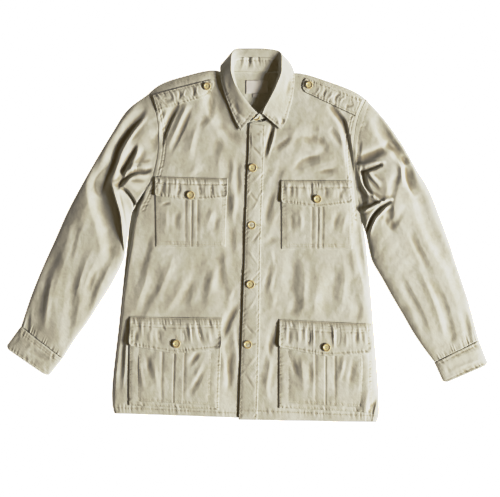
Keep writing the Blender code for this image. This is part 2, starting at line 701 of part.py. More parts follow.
def collar_sections():
    """Each section's neck seam, stand's upper edge, leaf's start, roll line and leaf's edge."""
    last = len(COLLAR) - 1
    table = [(index, *row) for index, row in enumerate(COLLAR)]
    for index in range(round(last / COLLAR_STEP) + 1):
        section = index * COLLAR_STEP
        values = through(table, section)
        seam, stand_top, roll, edge = (Vector(values[i : i + 3]) for i in range(0, 12, 3))
        start = stand_top.lerp(Vector(LEAF_LEFT_START), smooth(section - last + 1))
        yield seam, stand_top, start, roll, edge


def leaf_line(start, roll, edge, stand_rise):
    """The leaf across: from the stand's upper edge, round the roll and down to its free edge.
    Both stop short of their seam by enough to clear each other where they bend there. That much is given too."""
    rise, fall = start - roll, edge - roll
    inward = (rise.normalized() + fall.normalized()).normalized()
    apart = (rise.normalized() - fall.normalized()).normalized()
    before = roll + (inward + apart) * ROLL_RADIUS
    after = roll + (inward - apart) * ROLL_RADIUS
    onward = (before - start).normalized()
    bend = min(stand_rise.angle(onward), SHARPEST_SEAM)
    trim = SEAM + WALL / 2 * math.tan(bend / 2)
    line = [start + onward * trim, start.lerp(before, 0.5), before, roll]
    return line + [after.lerp(edge, share) for share in LEAF_SHARES], trim


def make_collar(material):
    stands, leaves = [], []
    for seam, stand_top, start, roll, edge in collar_sections():
        rise = (stand_top - seam).normalized()
        leaf, trim = leaf_line(start, roll, edge, rise)
        middle = seam.lerp(stand_top, 0.5) + Vector((0, 0, STAND_BOW))
        stands.append([seam, middle, stand_top - rise * trim])
        leaves.append(leaf)
    for name, rows in (("collar_stand", stands), ("collar_leaf", leaves)):
        remember_surface(name, rows, WALL / 2)
        item = add_object(name, grid_mesh(rows), material)
        wall = item.modifiers.new("wall", "SOLIDIFY")
        wall.thickness = WALL * MM
        wall.offset = 0


def make_button(name, x, y, diameter, material):
    radius = diameter / 2
    under = [rest_height(x, y)]
    for i in range(BUTTON_SUPPORTS):
        angle = math.tau * i / BUTTON_SUPPORTS
        under.append(rest_height(x + radius * math.cos(angle), y + radius * math.sin(angle)))
    floor = max(under) + GAP
    bm = bmesh.new()
    verts = [bm.verts.new((share * radius * MM, 0, z * MM)) for share, z in BUTTON_PROFILE]
    edges = [bm.edges.new(pair) for pair in zip(verts, verts[1:])]
    bmesh.ops.spin(
        bm,
        geom=verts + edges,
        cent=(0, 0, 0),
        axis=(0, 0, 1),
        angle=math.tau,
        steps=BUTTON_SIDES,
        use_merge=True,
    )
    bmesh.ops.remove_doubles(bm, verts=bm.verts, dist=SAME_POINT * MM)
    item = add_object(name, bm, material)
    item.location = (x * MM, y * MM, floor * MM)
    item.data.shade_smooth()
    item.data.set_sharp_from_angle(angle=math.radians(BUTTON_CREASE))


def main():
    cloth = new_material("cotton_twill", CLOTH_COLOUR, CLOTH_ROUGHNESS)
    horn = new_material("corozo", BUTTON_COLOUR, BUTTON_ROUGHNESS)
    tape = new_material("label_tape", LABEL_COLOUR, CLOTH_ROUGHNESS)

    right_grid = front_grid(RIGHT_FRONT, under=True)
    left_grid = front_grid(LEFT_FRONT, under=False)
    make_back(cloth, right_grid, left_grid)
    make_sheet("front_right", right_grid, cloth)
    make_sheet("front_left", left_grid, cloth)
    make_placket(left_grid, cloth)

    over_chest = GAP + WALL + CHEST_PUFF
    over_lower = 2 * (GAP + WALL) + GUSSET_LIFT + LOWER_PUFF
    for side, grid in (("right", right_grid), ("left", left_grid)):
        make_chest_pocket(f"pocket_chest_{side}", grid, cloth)
        make_flap(f"flap_chest_{side}", grid, CHEST_FLAP, over_chest, cloth)
        make_gusset(f"gusset_lower_{side}", grid, cloth)
        make_lower_face(f"pocket_lower_{side}", grid, cloth)
        make_flap(f"flap_lower_{side}", grid, LOWER_FLAP, over_lower, cloth)

    make_strap("epaulette_right", RIGHT_STRAP, cloth)
    make_strap("epaulette_left", LEFT_STRAP, cloth)

    for side, grid, sleeve, cuff, outward in (
        ("right", right_grid, RIGHT_SLEEVE, RIGHT_CUFF, -1),
        ("left", left_grid, LEFT_SLEEVE, LEFT_CUFF, 1),
    ):
        curve = sleeve_curve(grid, outward)
        table = sleeve_table(sleeve, outward)
        make_tube(f"sleeve_{side}", table, SLEEVE_STEP, cloth, curve, gathers=True)
        make_tube(f"cuff_{side}", cuff, CUFF_STEP, cloth)

    make_collar(cloth)
    make_patch("neck_label", NECK_LABEL, WALL + GAP, tape)
    make_patch("size_tab", SIZE_TAB, WALL + GAP, tape)
    for name, x, y, diameter in BUTTONS:
        make_button(name, x, y, diameter, horn)


main()
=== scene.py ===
import math
from functools import partial

import bmesh
import bpy
import numpy as np
from mathutils import Matrix, Vector
from mathutils.bvhtree import BVHTree


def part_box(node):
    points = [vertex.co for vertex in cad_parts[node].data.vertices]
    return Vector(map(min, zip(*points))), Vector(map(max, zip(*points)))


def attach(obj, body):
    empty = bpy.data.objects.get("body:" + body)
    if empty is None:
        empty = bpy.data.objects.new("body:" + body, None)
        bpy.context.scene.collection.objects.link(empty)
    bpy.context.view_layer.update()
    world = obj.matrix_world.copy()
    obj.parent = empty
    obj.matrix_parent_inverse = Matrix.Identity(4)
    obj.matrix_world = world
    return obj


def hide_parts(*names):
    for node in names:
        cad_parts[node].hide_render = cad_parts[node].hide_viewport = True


# A cotton safari jacket laid flat on its back, buttoned up, seen from straight above.
# Lengths are in millimetres until a mesh is finished. +X is the wearer's left, +Y points to the collar.
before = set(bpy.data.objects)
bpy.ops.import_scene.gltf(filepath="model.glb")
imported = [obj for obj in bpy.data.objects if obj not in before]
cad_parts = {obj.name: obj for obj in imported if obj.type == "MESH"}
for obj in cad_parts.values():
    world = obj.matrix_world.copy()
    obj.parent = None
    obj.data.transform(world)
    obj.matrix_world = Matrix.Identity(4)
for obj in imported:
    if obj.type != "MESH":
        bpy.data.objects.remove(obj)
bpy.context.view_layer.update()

mm = 0.001
wall = 1.3  # every wall of cloth in the solids
gap = 0.35
sewnLevel = wall + gap  # underside of a front where it is sewn to the back
surfaces = {}  # name of a finished piece: its tree, for what lies on it
sewn = {}  # name of a piece: the seams on it


def smooth(value):
    value = np.clip(value, 0, 1)
    return value * value * (3 - 2 * value)


def mix(a, b, share):
    return a + (b - a) * share


def arch(share, power=0.6, edge=0.001):
    # 0 at both ends of the way across, 1 in the middle
    return np.sin(math.pi * np.clip(share, edge, 1 - edge)) ** power


def grid(down, across):
    return np.meshgrid(down, across, indexing="ij")


def through(table, keys):
    # a smooth curve through a table's rows, keyed by their first column, that never overshoots
    table = np.array(table, float)
    keys = np.asarray(keys, float)
    marks, values = table[:, 0], table[:, 1:]
    steps = np.diff(marks)[:, None]
    rises = np.diff(values, axis=0) / steps
    before, after = rises[:-1], rises[1:]
    same = before * after > 0
    inner = np.where(same, 2 * before * after / np.where(same, before + after, 1), 0)
    slopes = np.vstack([rises[:1], inner, rises[-1:]])
    low = np.clip(np.searchsorted(marks, keys, side="right") - 1, 0, len(marks) - 2)
    t = ((keys - marks[low]) / steps[low, 0])[..., None]
    width = steps[low]
    return (
        values[low] * (2 * t**3 - 3 * t**2 + 1)
        + slopes[low] * width * (t**3 - 2 * t**2 + t)
        + values[low + 1] * (3 * t**2 - 2 * t**3)
        + slopes[low + 1] * width * (t**3 - t**2)
    )


def columnsAt(table, keys):
    # each column of a table's smooth curve, in the shape of the keys
    return np.moveaxis(through(table, keys), -1, 0)


def softLine(points, step=6.0):
    # a line drawn through given points, rounded off at its corners
    points = np.array(points, float)
    if len(points) == 2:
        points = np.array([points[0], (points[0] + points[1]) / 2, points[1]])
    padded = np.vstack([2 * points[0] - points[1], points, 2 * points[-1] - points[-2]])
    pieces = []
    for i in range(len(points) - 1):
        a, b, c, d = padded[i : i + 4]
        count = max(int(np.linalg.norm((c - b)[:2]) / step), 1)
        t = np.arange(count)[:, None] / count
        square, cube = 2 * a - 5 * b + 4 * c - d, 3 * b - a - 3 * c + d
        pieces.append(0.5 * (2 * b + (c - a) * t + square * t**2 + cube * t**3))
    return np.vstack([*pieces, points[-1:]])


def nearLine(x, y, line, reach):
    # for the points within reach of a line: their numbers, how far off it they are (more than 0 on its
    # left), how far along it, and the line's further columns there
    x, y = x.ravel(), y.ravel()
    low, high = line[:, :2].min(0) - reach, line[:, :2].max(0) + reach
    near = np.nonzero((x > low[0]) & (x < high[0]) & (y > low[1]) & (y < high[1]))[0]
    px, py = x[near], y[near]
    best = np.full(len(near), 1e9)
    off = np.zeros(len(near))
    along = np.zeros(len(near))
    extra = np.zeros((len(near), line.shape[1] - 2))
    passed = 0.0
    for a, b in zip(line, line[1:]):
        run = b[:2] - a[:2]
        length = math.hypot(*run)
        if length < 1e-6:
            continue
        t = np.clip(((px - a[0]) * run[0] + (py - a[1]) * run[1]) / length**2, 0, 1)
        dx, dy = px - a[0] - t * run[0], py - a[1] - t * run[1]
        distance = np.hypot(dx, dy)
        closer = distance < best
        best = np.where(closer, distance, best)
        side = np.sign(run[0] * dy - run[1] * dx)
        off = np.where(closer, distance * np.where(side == 0, 1, side), off)
        along = np.where(closer, passed + t * length, along)
        extra = np.where(closer[:, None], a[2:] + t[:, None] * (b[2:] - a[2:]), extra)
        passed += length
    return near, off, along, extra


foldForm = {
    "soft": 3.6,  # folds shallower than this are drawn wider on cloth that calls for it
    "crisp": 0.9,  # how much a ridge keeps its sharp top
    "pull": 0.66,  # how strongly the stitching gathers the cloth, as a share of each seam's height
    "groove": 1.5,  # half the width of the line that the stitches press in
}


def creaseHeight(x, y, creases, soften=1.0):
    # creases: width to the left of the line and to its right, then x, y and height along it
    total = np.zeros(x.size)
    for leftWidth, rightWidth, points in creases:
        if max(abs(height) for _, _, height in points) < foldForm["soft"]:
            leftWidth, rightWidth = leftWidth * soften, rightWidth * soften
        near, off, _, extra = nearLine(x, y, softLine(points), max(leftWidth, rightWidth))
        share = np.clip(np.abs(off) / np.where(off > 0, leftWidth, rightWidth), 0, 1)
        soft, crisp = (1 - share**2) ** 2, (1 - share) ** 2 * (1 + foldForm["crisp"] * share)
        total[near] += extra[:, 0] * np.where(extra[:, 0] > 0, crisp, soft)
    return total.reshape(x.shape)


def puckerHeight(x, y, seams):
    # seams: pitch, height, reach to the left and to the right, slant, distance to a second row of
    # stitches (0 for none), and the points of the first row
    total = np.zeros(x.size)
    for pitch, height, leftReach, rightReach, slant, twin, points in seams:
        near, off, along, _ = nearLine(x, y, softLine(points, 10.0), max(leftReach, rightReach))
        middle = off - twin / 2
        reach = np.where(middle > 0, leftReach, rightReach)
        share = np.clip(1 - np.abs(middle) / reach, 0, 1)
        turn = (along + slant * off) / pitch
        turn = turn + 0.32 * np.sin(along / (pitch * 0.83) + pitch) + 0.21 * np.sin(along / (pitch * 2.7))
        uneven = 0.75 + 0.4 * np.sin(along / (pitch * 1.9) + height * 9)
        uneven = uneven + 0.3 * np.sin(along / (pitch * 0.71))
        wave = np.sin(2 * math.pi * turn) + 0.45 * np.sin(3.2 * math.pi * turn + 1.3)
        wave = wave + 0.4 * np.sin(1.1 * math.pi * turn + 2 * height)
        total[near] += foldForm["pull"] * height * wave * uneven * share**1.2
        for row in (0, twin) if twin else (0,):
            total[near] -= (0.3 + 0.4 * height) * np.exp(-(((off - row) / foldForm["groove"]) ** 2))
    return total.reshape(x.shape)


def rumple(x, y, height):
    # the fine unevenness of washed cotton
    a = np.sin(x / 9.3 + 2.1 * np.sin(y / 31)) * np.sin(y / 12.7 + 1.7 * np.sin(x / 23))
    b = np.sin((x + y) / 5.9 + 1.3 * np.sin(y / 17)) * np.sin((y - x) / 8.1)
    return height * (0.6 * a + 0.4 * b)


def sway(x, y, height):
    # broad soft waves, as cloth that was smoothed by hand keeps
    a = np.sin(x / 26 + 1.9 * np.sin(y / 83) + 0.7) * np.sin(y / 47 + 1.3 * np.sin(x / 61))
    b = np.sin((x * 0.8 + y * 0.5) / 19 + 1.6 * np.sin(y / 57)) * np.sin((y * 0.7 - x * 0.3) / 33 + 0.4)
    return height * (0.55 * a + 0.45 * b)


def blurred(z, reach):
    padded = np.pad(z, reach, mode="edge")
    rows, columns = z.shape
    size = 2 * reach + 1
    across = sum(padded[:, i : i + columns] for i in range(size)) / size
    return sum(across[i : i + rows] for i in range(size)) / size


def faceUp(bm):
    bm.normal_update()
    if sum(face.normal.z for face in bm.faces) < 0:
        bmesh.ops.reverse_faces(bm, faces=bm.faces)


def gridMesh(x, y, z, wrap=False):
    # a sheet of faces through rows of points, with two values for its colour: the first is above 0 where the
    # cloth stands up (drawn paler, as wash wear and painted highlight) and below 0 in narrow grooves (painted
    # shade), the second is above 0 in deep folds (painted shade)
    rows, columns = x.shape
    bm = bmesh.new()
    bmesh.ops.create_grid(bm, x_segments=columns - 1, y_segments=rows - 1, size=1)
    bm.verts.ensure_lookup_table()
    wearAndPaintedShading = bm.verts.layers.float.new("wearAndPaintedShading")
    hollow = bm.verts.layers.float.new("hollow")
    # above 0 on ridges: paler wash wear and painted highlight; below 0 in grooves: painted shade
    wornAndShaded = np.clip((z - blurred(z, 3)) / 0.7, -1, 1).ravel()
    # above 0 in deep folds, which the twill darkens as painted shade
    sunken = np.clip((blurred(z, min(9, rows // 3, columns // 3)) - z - 0.5) / 3.5, 0, 1).ravel()
    places = np.stack([x, y, z], -1).reshape(-1, 3) * mm
    for vert, place, amount, depth in zip(bm.verts, places, wornAndShaded, sunken):
        vert.co = place
        vert[wearAndPaintedShading] = amount
        vert[hollow] = depth
    if wrap:
        bmesh.ops.remove_doubles(bm, verts=bm.verts, dist=1e-6)
        bmesh.ops.recalc_face_normals(bm, faces=bm.faces)
    else:
        faceUp(bm)
    return bm


def heightsOn(names, x, y, default=wall):
    # height of the highest of the named pieces under each point
    found = np.full(x.size, -1e9)
    for name in names:
        tree = surfaces[name]
        for i, (px, py) in enumerate(zip(x.ravel() * mm, y.ravel() * mm)):
            hit = tree.ray_cast(Vector((px, py, 1)), Vector((0, 0, -1)))[0]
            if not hit:  # just past an edge
                near = tree.find_nearest(Vector((px, py, 0.012)))[0]
                hit = near if near and math.hypot(near.x - px, near.y - py) < 3 * mm else None
            if hit:
                found[i] = max(found[i], hit.z / mm)
    found[found < -1e8] = default
    return found.reshape(x.shape)


def addObject(name, data):
    made = bpy.data.objects.new(name, data)
    bpy.context.scene.collection.objects.link(made)
    return made


def addPiece(name, bm, material, nodes=(), thickness=0.0, angle=None):
    mesh = bpy.data.meshes.new(name)
    bm.to_mesh(mesh)
    bm.free()
    mesh.materials.append(material)
    mesh.shade_smooth()
    if angle:
        mesh.set_sharp_from_angle(angle=math.radians(angle))
    piece = addObject(name, mesh)
    if thickness:
        solid = piece.modifiers.new("cloth", "SOLIDIFY")
        solid.thickness = thickness * mm
        solid.offset = -1
    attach(piece, "root")
    if nodes:
        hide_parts(*nodes)
    return piece


def addCloth(name, bm, node, thickness=0.0):
    surfaces[name] = BVHTree.FromBMesh(bm)
    return addPiece(name, bm, cloth, [node], thickness)


# Drawn coarser than the real ones, which are 3 mm apart
stitch = {
    "pitch": 4.2, "length": 2.9, "width": 0.85, "height": 0.6, "aim": 0.6, "lift": 0.08, "steepest": 0.2,
}


def besideLine(line, distance):
    # the same line, moved to its left
    run = np.gradient(line, axis=0)
    run = run / np.linalg.norm(run, axis=1, keepdims=True)
    return line + distance * np.stack([-run[:, 1], run[:, 0]], -1)


def makeStitches(name, hostName, lines):
    # small rounded stitches, lying on the cloth
    tree = surfaces[hostName]
    bm = bmesh.new()
    size = Matrix.Diagonal((stitch["length"] / 2, stitch["width"] / 2, stitch["height"] / 2, 1))
    size = size @ Matrix.Scale(mm, 4)
    for line in lines:
        steps = np.linalg.norm(np.diff(line, axis=0), axis=1)
        passed = np.concatenate([[0], np.cumsum(steps)])
        count = max(int(passed[-1] / stitch["pitch"]), 1)
        marks = (np.arange(count) + 0.5) * passed[-1] / count
        places, ahead = (
            np.stack([np.interp(at, passed, line[:, i]) for i in (0, 1)], -1) * mm
            for at in (marks, marks + stitch["aim"])
        )
        for place, aim in zip(places, ahead):
            hit, normal, _, _ = tree.ray_cast(Vector((*place, 1)), Vector((0, 0, -1)))
            if not hit or normal.z < stitch["steepest"]:
                continue
            along = Vector((*(aim - place), 0))
            along = (along - normal * along.dot(normal)).normalized()
            turn = Matrix((along, normal.cross(along), normal)).transposed().to_4x4()
            spot = Matrix.Translation(hit + normal * stitch["lift"] * mm) @ turn @ size
            bmesh.ops.create_icosphere(bm, subdivisions=1, radius=1, matrix=spot)
    return addPiece(name, bm, thread)


def seamLines(seams):
    lines = []
    for *_, twin, points in seams:
        line = softLine(points, 5.0)[:, :2]
        lines.append(line)
        if twin:
            lines.append(besideLine(line, twin))
    return lines


def linear(code):
    # an sRGB colour as linear light
    parts = [int(code[i : i + 2], 16) / 255 for i in (1, 3, 5)]
    return tuple(c / 12.92 if c <= 0.04045 else ((c + 0.055) / 1.055) ** 2.4 for c in parts) + (1.0,)


def addNode(tree, kind, inputs=None, **settings):
    # inputs hold a plain value or another node's output
    node = tree.nodes.new(kind)
    for name, value in settings.items():
        setattr(node, name, value)
    for name, value in (inputs or {}).items():
        socket = node.inputs[name]
        if isinstance(value, bpy.types.NodeSocket):
            tree.links.new(value, socket)
        else:
            socket.default_value = value
    return node


def blend(tree, factor, a, b):
    inputs = {"Factor": factor, "A": a, "B": b}
    return addNode(tree, "ShaderNodeMix", inputs, data_type="RGBA").outputs["Result"]


def ranged(tree, value, low, high, top=1.0):
    inputs = {"Value": value, "From Min": low, "From Max": high, "To Max": top}
    return addNode(tree, "ShaderNodeMapRange", inputs).outputs["Result"]


def noise(tree, place, scale, detail):
    inputs = {"Vector": place, "Scale": scale, "Detail": detail}
    return addNode(tree, "ShaderNodeTexNoise", inputs).outputs["Fac"]


def attribute(tree, name):
    return addNode(tree, "ShaderNodeAttribute", attribute_name=name).outputs["Fac"]


def bumped(tree, height, strength, distance, normal=None):
    inputs = {"Height": height, "Strength": strength, "Distance": distance}
    if normal:
        inputs["Normal"] = normal
    return addNode(tree, "ShaderNodeBump", inputs).outputs["Normal"]


def startMaterial(name):
    material = bpy.data.materials.new(name)
    material.use_nodes = True
    tree = material.node_tree
    tree.nodes.clear()
    return material, tree


def finishMaterial(tree, inputs):
    shader = addNode(tree, "ShaderNodeBsdfPrincipled", inputs)
    addNode(tree, "ShaderNodeOutputMaterial", {"Surface": shader.outputs["BSDF"]})


twill = {
    "colour": "#CBC9BD",
    "shade": "#BDB9A9",
    "light": "#D6D5CB",
    "paleWearAndHighlight": "#DFDDD2",  # ridges rubbed pale by the wash, with painted highlight on them
    "paintedShade": "#7E6F4E",  # painted shade for grooves and deep folds
    # shares of the pale ridge colour (wash wear and painted highlight), and of the painted shade in grooves
    # and in deep folds
    "ridgeWearAndHighlight": 0.35,
    "paintedGrooveShade": 0.45,
    "hollow": 0.35,
    "even": 0.6,  # how far the patches of wash are drawn back to the one colour
    "crumple": 0.75,
    "blotch": 26.0,  # per metre, patches of wash about 40 mm across
    "wrinkle": 34.0,
    "fine": 170.0,
    "grain": 900.0,
    "line": 620.0,  # per metre; diagonal lines 1.6 mm apart, where the real ones are 0.6
    "turn": 28,
    "bump": 0.22,
}


def makeTwill(name, values):
    # washed cotton twill: matt, a little mottled, with faint diagonal lines and a soft fuzz at grazing
    # angles; ridges drawn paler (wash wear and painted highlight), grooves and deep folds darker (painted
    # shade)
    material, tree = startMaterial(name)
    place = addNode(tree, "ShaderNodeTexCoord").outputs["Object"]
    colours = {key: linear(values[key]) for key in ("colour", "shade", "light", "paleWearAndHighlight", "paintedShade")}
    patches = ranged(tree, noise(tree, place, values["blotch"], 4.0), 0.35, 0.65)
    seen = blend(tree, patches, colours["shade"], colours["light"])
    seen = blend(tree, values["even"], seen, colours["colour"])
    washed = ranged(tree, noise(tree, place, values["fine"], 3.0), 0.3, 0.75, 0.3)
    seen = blend(tree, washed, seen, colours["light"])
    wearAndPaintedShading = attribute(tree, "wearAndPaintedShading")
    # ridges turn paler: partly wash wear, partly painted highlight
    seen = blend(tree, ranged(tree, wearAndPaintedShading, 0.12, 1.0, values["ridgeWearAndHighlight"]), seen, colours["paleWearAndHighlight"])
    # grooves turn darker: painted shade
    seen = blend(tree, ranged(tree, wearAndPaintedShading, -0.12, -1.0, values["paintedGrooveShade"]), seen, colours["paintedShade"])
    # deep folds turn darker: painted shade
    deepest = ranged(tree, attribute(tree, "hollow"), 0.05, 1.0, values["hollow"])
    seen = blend(tree, deepest, seen, colours["paintedShade"])
    crumpled = bumped(tree, noise(tree, place, values["wrinkle"], 3.0), values["crumple"], 0.004)
    turned = addNode(tree, "ShaderNodeMapping", {
        "Vector": place, "Rotation": (0.0, 0.0, math.radians(values["turn"])),
    })
    lines = addNode(tree, "ShaderNodeTexWave", {
        "Vector": turned.outputs["Vector"], "Scale": values["line"] / 2 / math.pi,
        "Distortion": 1.2, "Detail": 1.0,
    })
    grain = noise(tree, place, values["grain"], 2.0)
    height = addNode(tree, "ShaderNodeMath", {0: lines.outputs["Fac"], 1: grain}, operation="ADD")
    weave = bumped(tree, height.outputs["Value"], values["bump"], 0.0004, normal=crumpled)
    finishMaterial(tree, {
        "Base Color": seen, "Roughness": 0.92, "Specular IOR Level": 0.2,
        "Sheen Weight": 0.05, "Sheen Roughness": 0.5, "Normal": weave,
    })
    return material


def makePlain(name, code, roughness, specular=0.3, grain=400.0, depth=0.1, rim=None):
    material, tree = startMaterial(name)
    place = addNode(tree, "ShaderNodeTexCoord").outputs["Object"]
    speckle = noise(tree, place, grain, 3.0)
    dark = tuple(c * 0.82 for c in linear(code)[:3]) + (1.0,)
    seen = blend(tree, speckle, dark, linear(code))
    if rim:
        # the rim colour is painted shade, laid on where the rim value is above 0
        seen = blend(tree, attribute(tree, "rim"), seen, linear(rim))
    finishMaterial(tree, {
        "Base Color": seen, "Roughness": roughness, "Specular IOR Level": specular,
        "Normal": bumped(tree, speckle, depth, 0.0003),
    })
    return material


cloth = makeTwill("garment_washed_cotton_twill", twill)
# Sewing thread: matt, a shade paler than the twill, so that each stitch is a small light bead
thread = makePlain("cotton_thread", "#D8D3C0", 0.8, grain=2000.0)
# Nut buttons: a low polish that catches the window, pale faces, and painted brown shade round the rim's
# edges, in the holes and on the underside
corozo = makePlain("corozo_nut", "#DDD3AE", 0.35, specular=0.5, grain=180.0, depth=0.05, rim="#9A7A3C")
# Woven tape: flatter and whiter than the twill, with a fine even grain
tape = makePlain("woven_label_tape", "#E6E3DE", 0.85, grain=1500.0)
print("materials made")

# The panels' lines: row, side seam x, y, pocket's outer x, inner x, line beside the edge x, edge x, y, bulge
rightFront = {
    "name": "frontRight",
    "inward": 1,
    "rows": (
        (0, -292, -392, -259, -61, -18, 18, -403, 0),
        (1, -295, -372, -260, -61, -17, 18, -388, 0),
        (9, -277, -179, -257, -53, -10, 26, -183, 0),
        (15, -261, -24, -200, -47, -7, 31, -27, 0),
        (18, -253, 49, -201, -45, -5, 35, 45, 0),
        (23, -208, 129, -202, -42, -3, 38, 123, 0),
        (26, -195, 198, -171, -48, 1, 41, 188, 0),
        (27, -194, 221, -164, -54, 6, 42, 240, 0),
        (28, -196, 244, -166, -68, -15, 7, 260, 0),
        (29, -200, 267, -168, -79, -32, -15, 283, 3),
        (30, -207, 289, -172, -90, -50, -34, 317, 6),
        (31, -214, 304, -175, -96, -61, -45, 344, 12),
        (32, -217, 311, -178, -101, -65, -49, 357, 18),
    ),
    "under": 2.0,  # how much it dips under the other front
    "sideRound": 1.8,
    # y, and how far its side rolls in there
    "inset": ((-130, 0), (-75, 2), (-32, 4), (9, 7), (49, 10), (80, 8), (100, 0)),
}
leftFront = {
    "name": "frontLeft",
    "inward": -1,
    "rows": (
        (0, 286, -411.6, 273, 70, 23, -18, -406, 0),
        (1, 291, -391, 275, 70, 24, -17, -375, 0),
        (9, 278, -195, 274, 71, 29, -10, -181, 0),
        (15, 263, -30, 232, 76, 31, -5, -30, 0),
        (18, 254, 29, 234, 76, 33, -3, 29, 0),
        (23, 239, 120, 232, 75, 36, 0, 121, 0),
        (26, 234, 189, 216, 80, 39, 4, 188, 0),
        (27, 236, 212, 212, 82, 41, 6, 246, 0),
        (28, 239, 235, 210, 89, 56, 38, 251, 0),
        (29, 244, 257, 210, 102, 78, 63, 282, 2),
        (30, 252, 278, 214, 117, 93, 81, 317, 4),
        (31, 259, 292, 221, 130, 106, 93, 344, 8),
        (32, 263, 299, 223, 137, 111, 97, 357, 11),
    ),
    "under": 0.0,
    "sideRound": 8.0,
    "inset": ((-200, 0), (200, 0)),
}
frontForm = {
    "rise": 9.4,
    "shoulderRound": 15.0,
    "armholeLevel": 0.8,
    "hemLevel": 0.45,
    "hemY": -408.0,
    "hemReach": 80.0,
    "lowest": 4.2,
    "soften": 1.6,
    "sway": 1.8,
    "rowStep": 0.096,  # about 2.2 mm
    "columns": 150,
    "crowd": 1.3,  # how much closer its columns are at the side
}
lastRow = 32
underarmRow = 18

# Creases: width on each side of the line, then x, y and height. Going down a line, the first width is on +X
rightFrontCreases = (
    (7, 17, ((-153, 283, -2), (-163, 265, -5), (-171, 248, -6.5), (-180, 225, -6), (-184, 212, -4),
             (-190, 190, 0))),
    (10, 8, ((-128, 292, 0), (-136, 275, 3.5), (-152, 240, 3), (-166, 206, 1.5), (-172, 180, 0))),
    (4, 6, ((-180, 276, 0), (-184, 266, -2.5), (-188, 256, -1.5), (-190, 246, 0))),
    (4, 8, ((-120, 285, 0), (-134, 250, -2), (-147, 222, -2.2), (-160, 195, -1.5), (-172, 172, 0))),
    (9, 14, ((-79, 306, -1), (-82, 285, -3), (-84, 264, -3), (-105, 243, -2), (-118, 220, 0))),
    (12, 12, ((-62, 225, 0), (-65, 203, -1.5), (-68, 180, -1.5), (-70, 158, 0))),
    (30, 26, ((-80, 336, -4), (-76, 306, -5.5), (-64, 270, -6), (-46, 240, -5), (-30, 214, -3),
             (-18, 188, 0))),
    (9, 18, ((-52, 200, 0), (-60, 170, 1.5), (-64, 140, 0))),
    (6, 11, ((-18, -147, 0), (-28, -168, -2.5), (-39, -189, -3), (-48, -212, -3), (-56, -234, 0))),
    (9, 20, ((-208, 16, 0), (-218, -20, -2.2), (-228, -58, -2.5), (-236, -90, 0))),
    (9, 22, ((-188, -90, 0), (-205, -120, -2.2), (-228, -160, -2), (-245, -205, 0))),
    (12, 16, ((-100, -40, 0), (-112, -80, -1.8), (-130, -125, -1.8), (-142, -168, 0))),
    (10, 14, ((-62, -52, 0), (-70, -85, 1.6), (-78, -120, 1.4), (-84, -150, 0))),
    (8, 12, ((-22, 60, 0), (-30, 20, -1.6), (-34, -20, -1.8), (-30, -60, -1), (-34, -90, 0))),
    (10, 10, ((-160, -40, 0), (-170, -75, 1.8), (-186, -110, 1.5), (-196, -140, 0))),
    (5, 9, ((-16, 170, 0), (-20, 140, -1.8), (-18, 110, -2), (-22, 80, 0))),
    (6, 8, ((-26, -105, 0), (-34, -130, 1.5), (-44, -160, 0))),
    (6, 7, ((-30, -250, 0), (-38, -285, -1.5), (-36, -320, -1.8), (-42, -350, 0))),
    (14, 18, ((-108, 180, 0), (-116, 140, 2), (-112, 132, 0))),
    (9, 14, ((-100, 262, 0), (-112, 232, 2.6), (-122, 196, 2.4), (-128, 160, 0))),
    (8, 14, ((-44, 180, 0), (-40, 150, -2.6), (-46, 110, -2.4), (-42, 70, -2), (-36, 40, 0))),
    (8, 9, ((-30, 120, 0), (-26, 80, 2.2), (-30, 40, 2), (-24, 0, 0))),
    (10, 16, ((-52, -20, 0), (-60, -60, -2.4), (-52, -110, -2.4), (-44, -140, 0))),
    (12, 16, ((-120, -70, 0), (-140, -110, 2.2), (-166, -150, 2.2), (-190, -176, 0))),
    (10, 12, ((-214, -60, 0), (-222, -100, 2.6), (-236, -140, 2.2), (-246, -176, 0))),
    (10, 14, ((-80, -60, 0), (-92, -100, -2), (-100, -140, -1.6), (-104, -170, 0))),
    (6, 10, ((-268, -180, 0), (-272, -230, -2.6), (-276, -290, -2.6), (-282, -350, 0))),
    (5, 6, ((-262, -200, 0), (-266, -250, 2), (-268, -300, 1.6), (-272, -340, 0))),
    (7, 10, ((-46, -196, 0), (-54, -240, 2), (-50, -290, 2), (-52, -350, 0))),
    (6, 9, ((-24, -180, 0), (-28, -220, 1.8), (-22, -270, 1.8), (-26, -330, 0))),
)
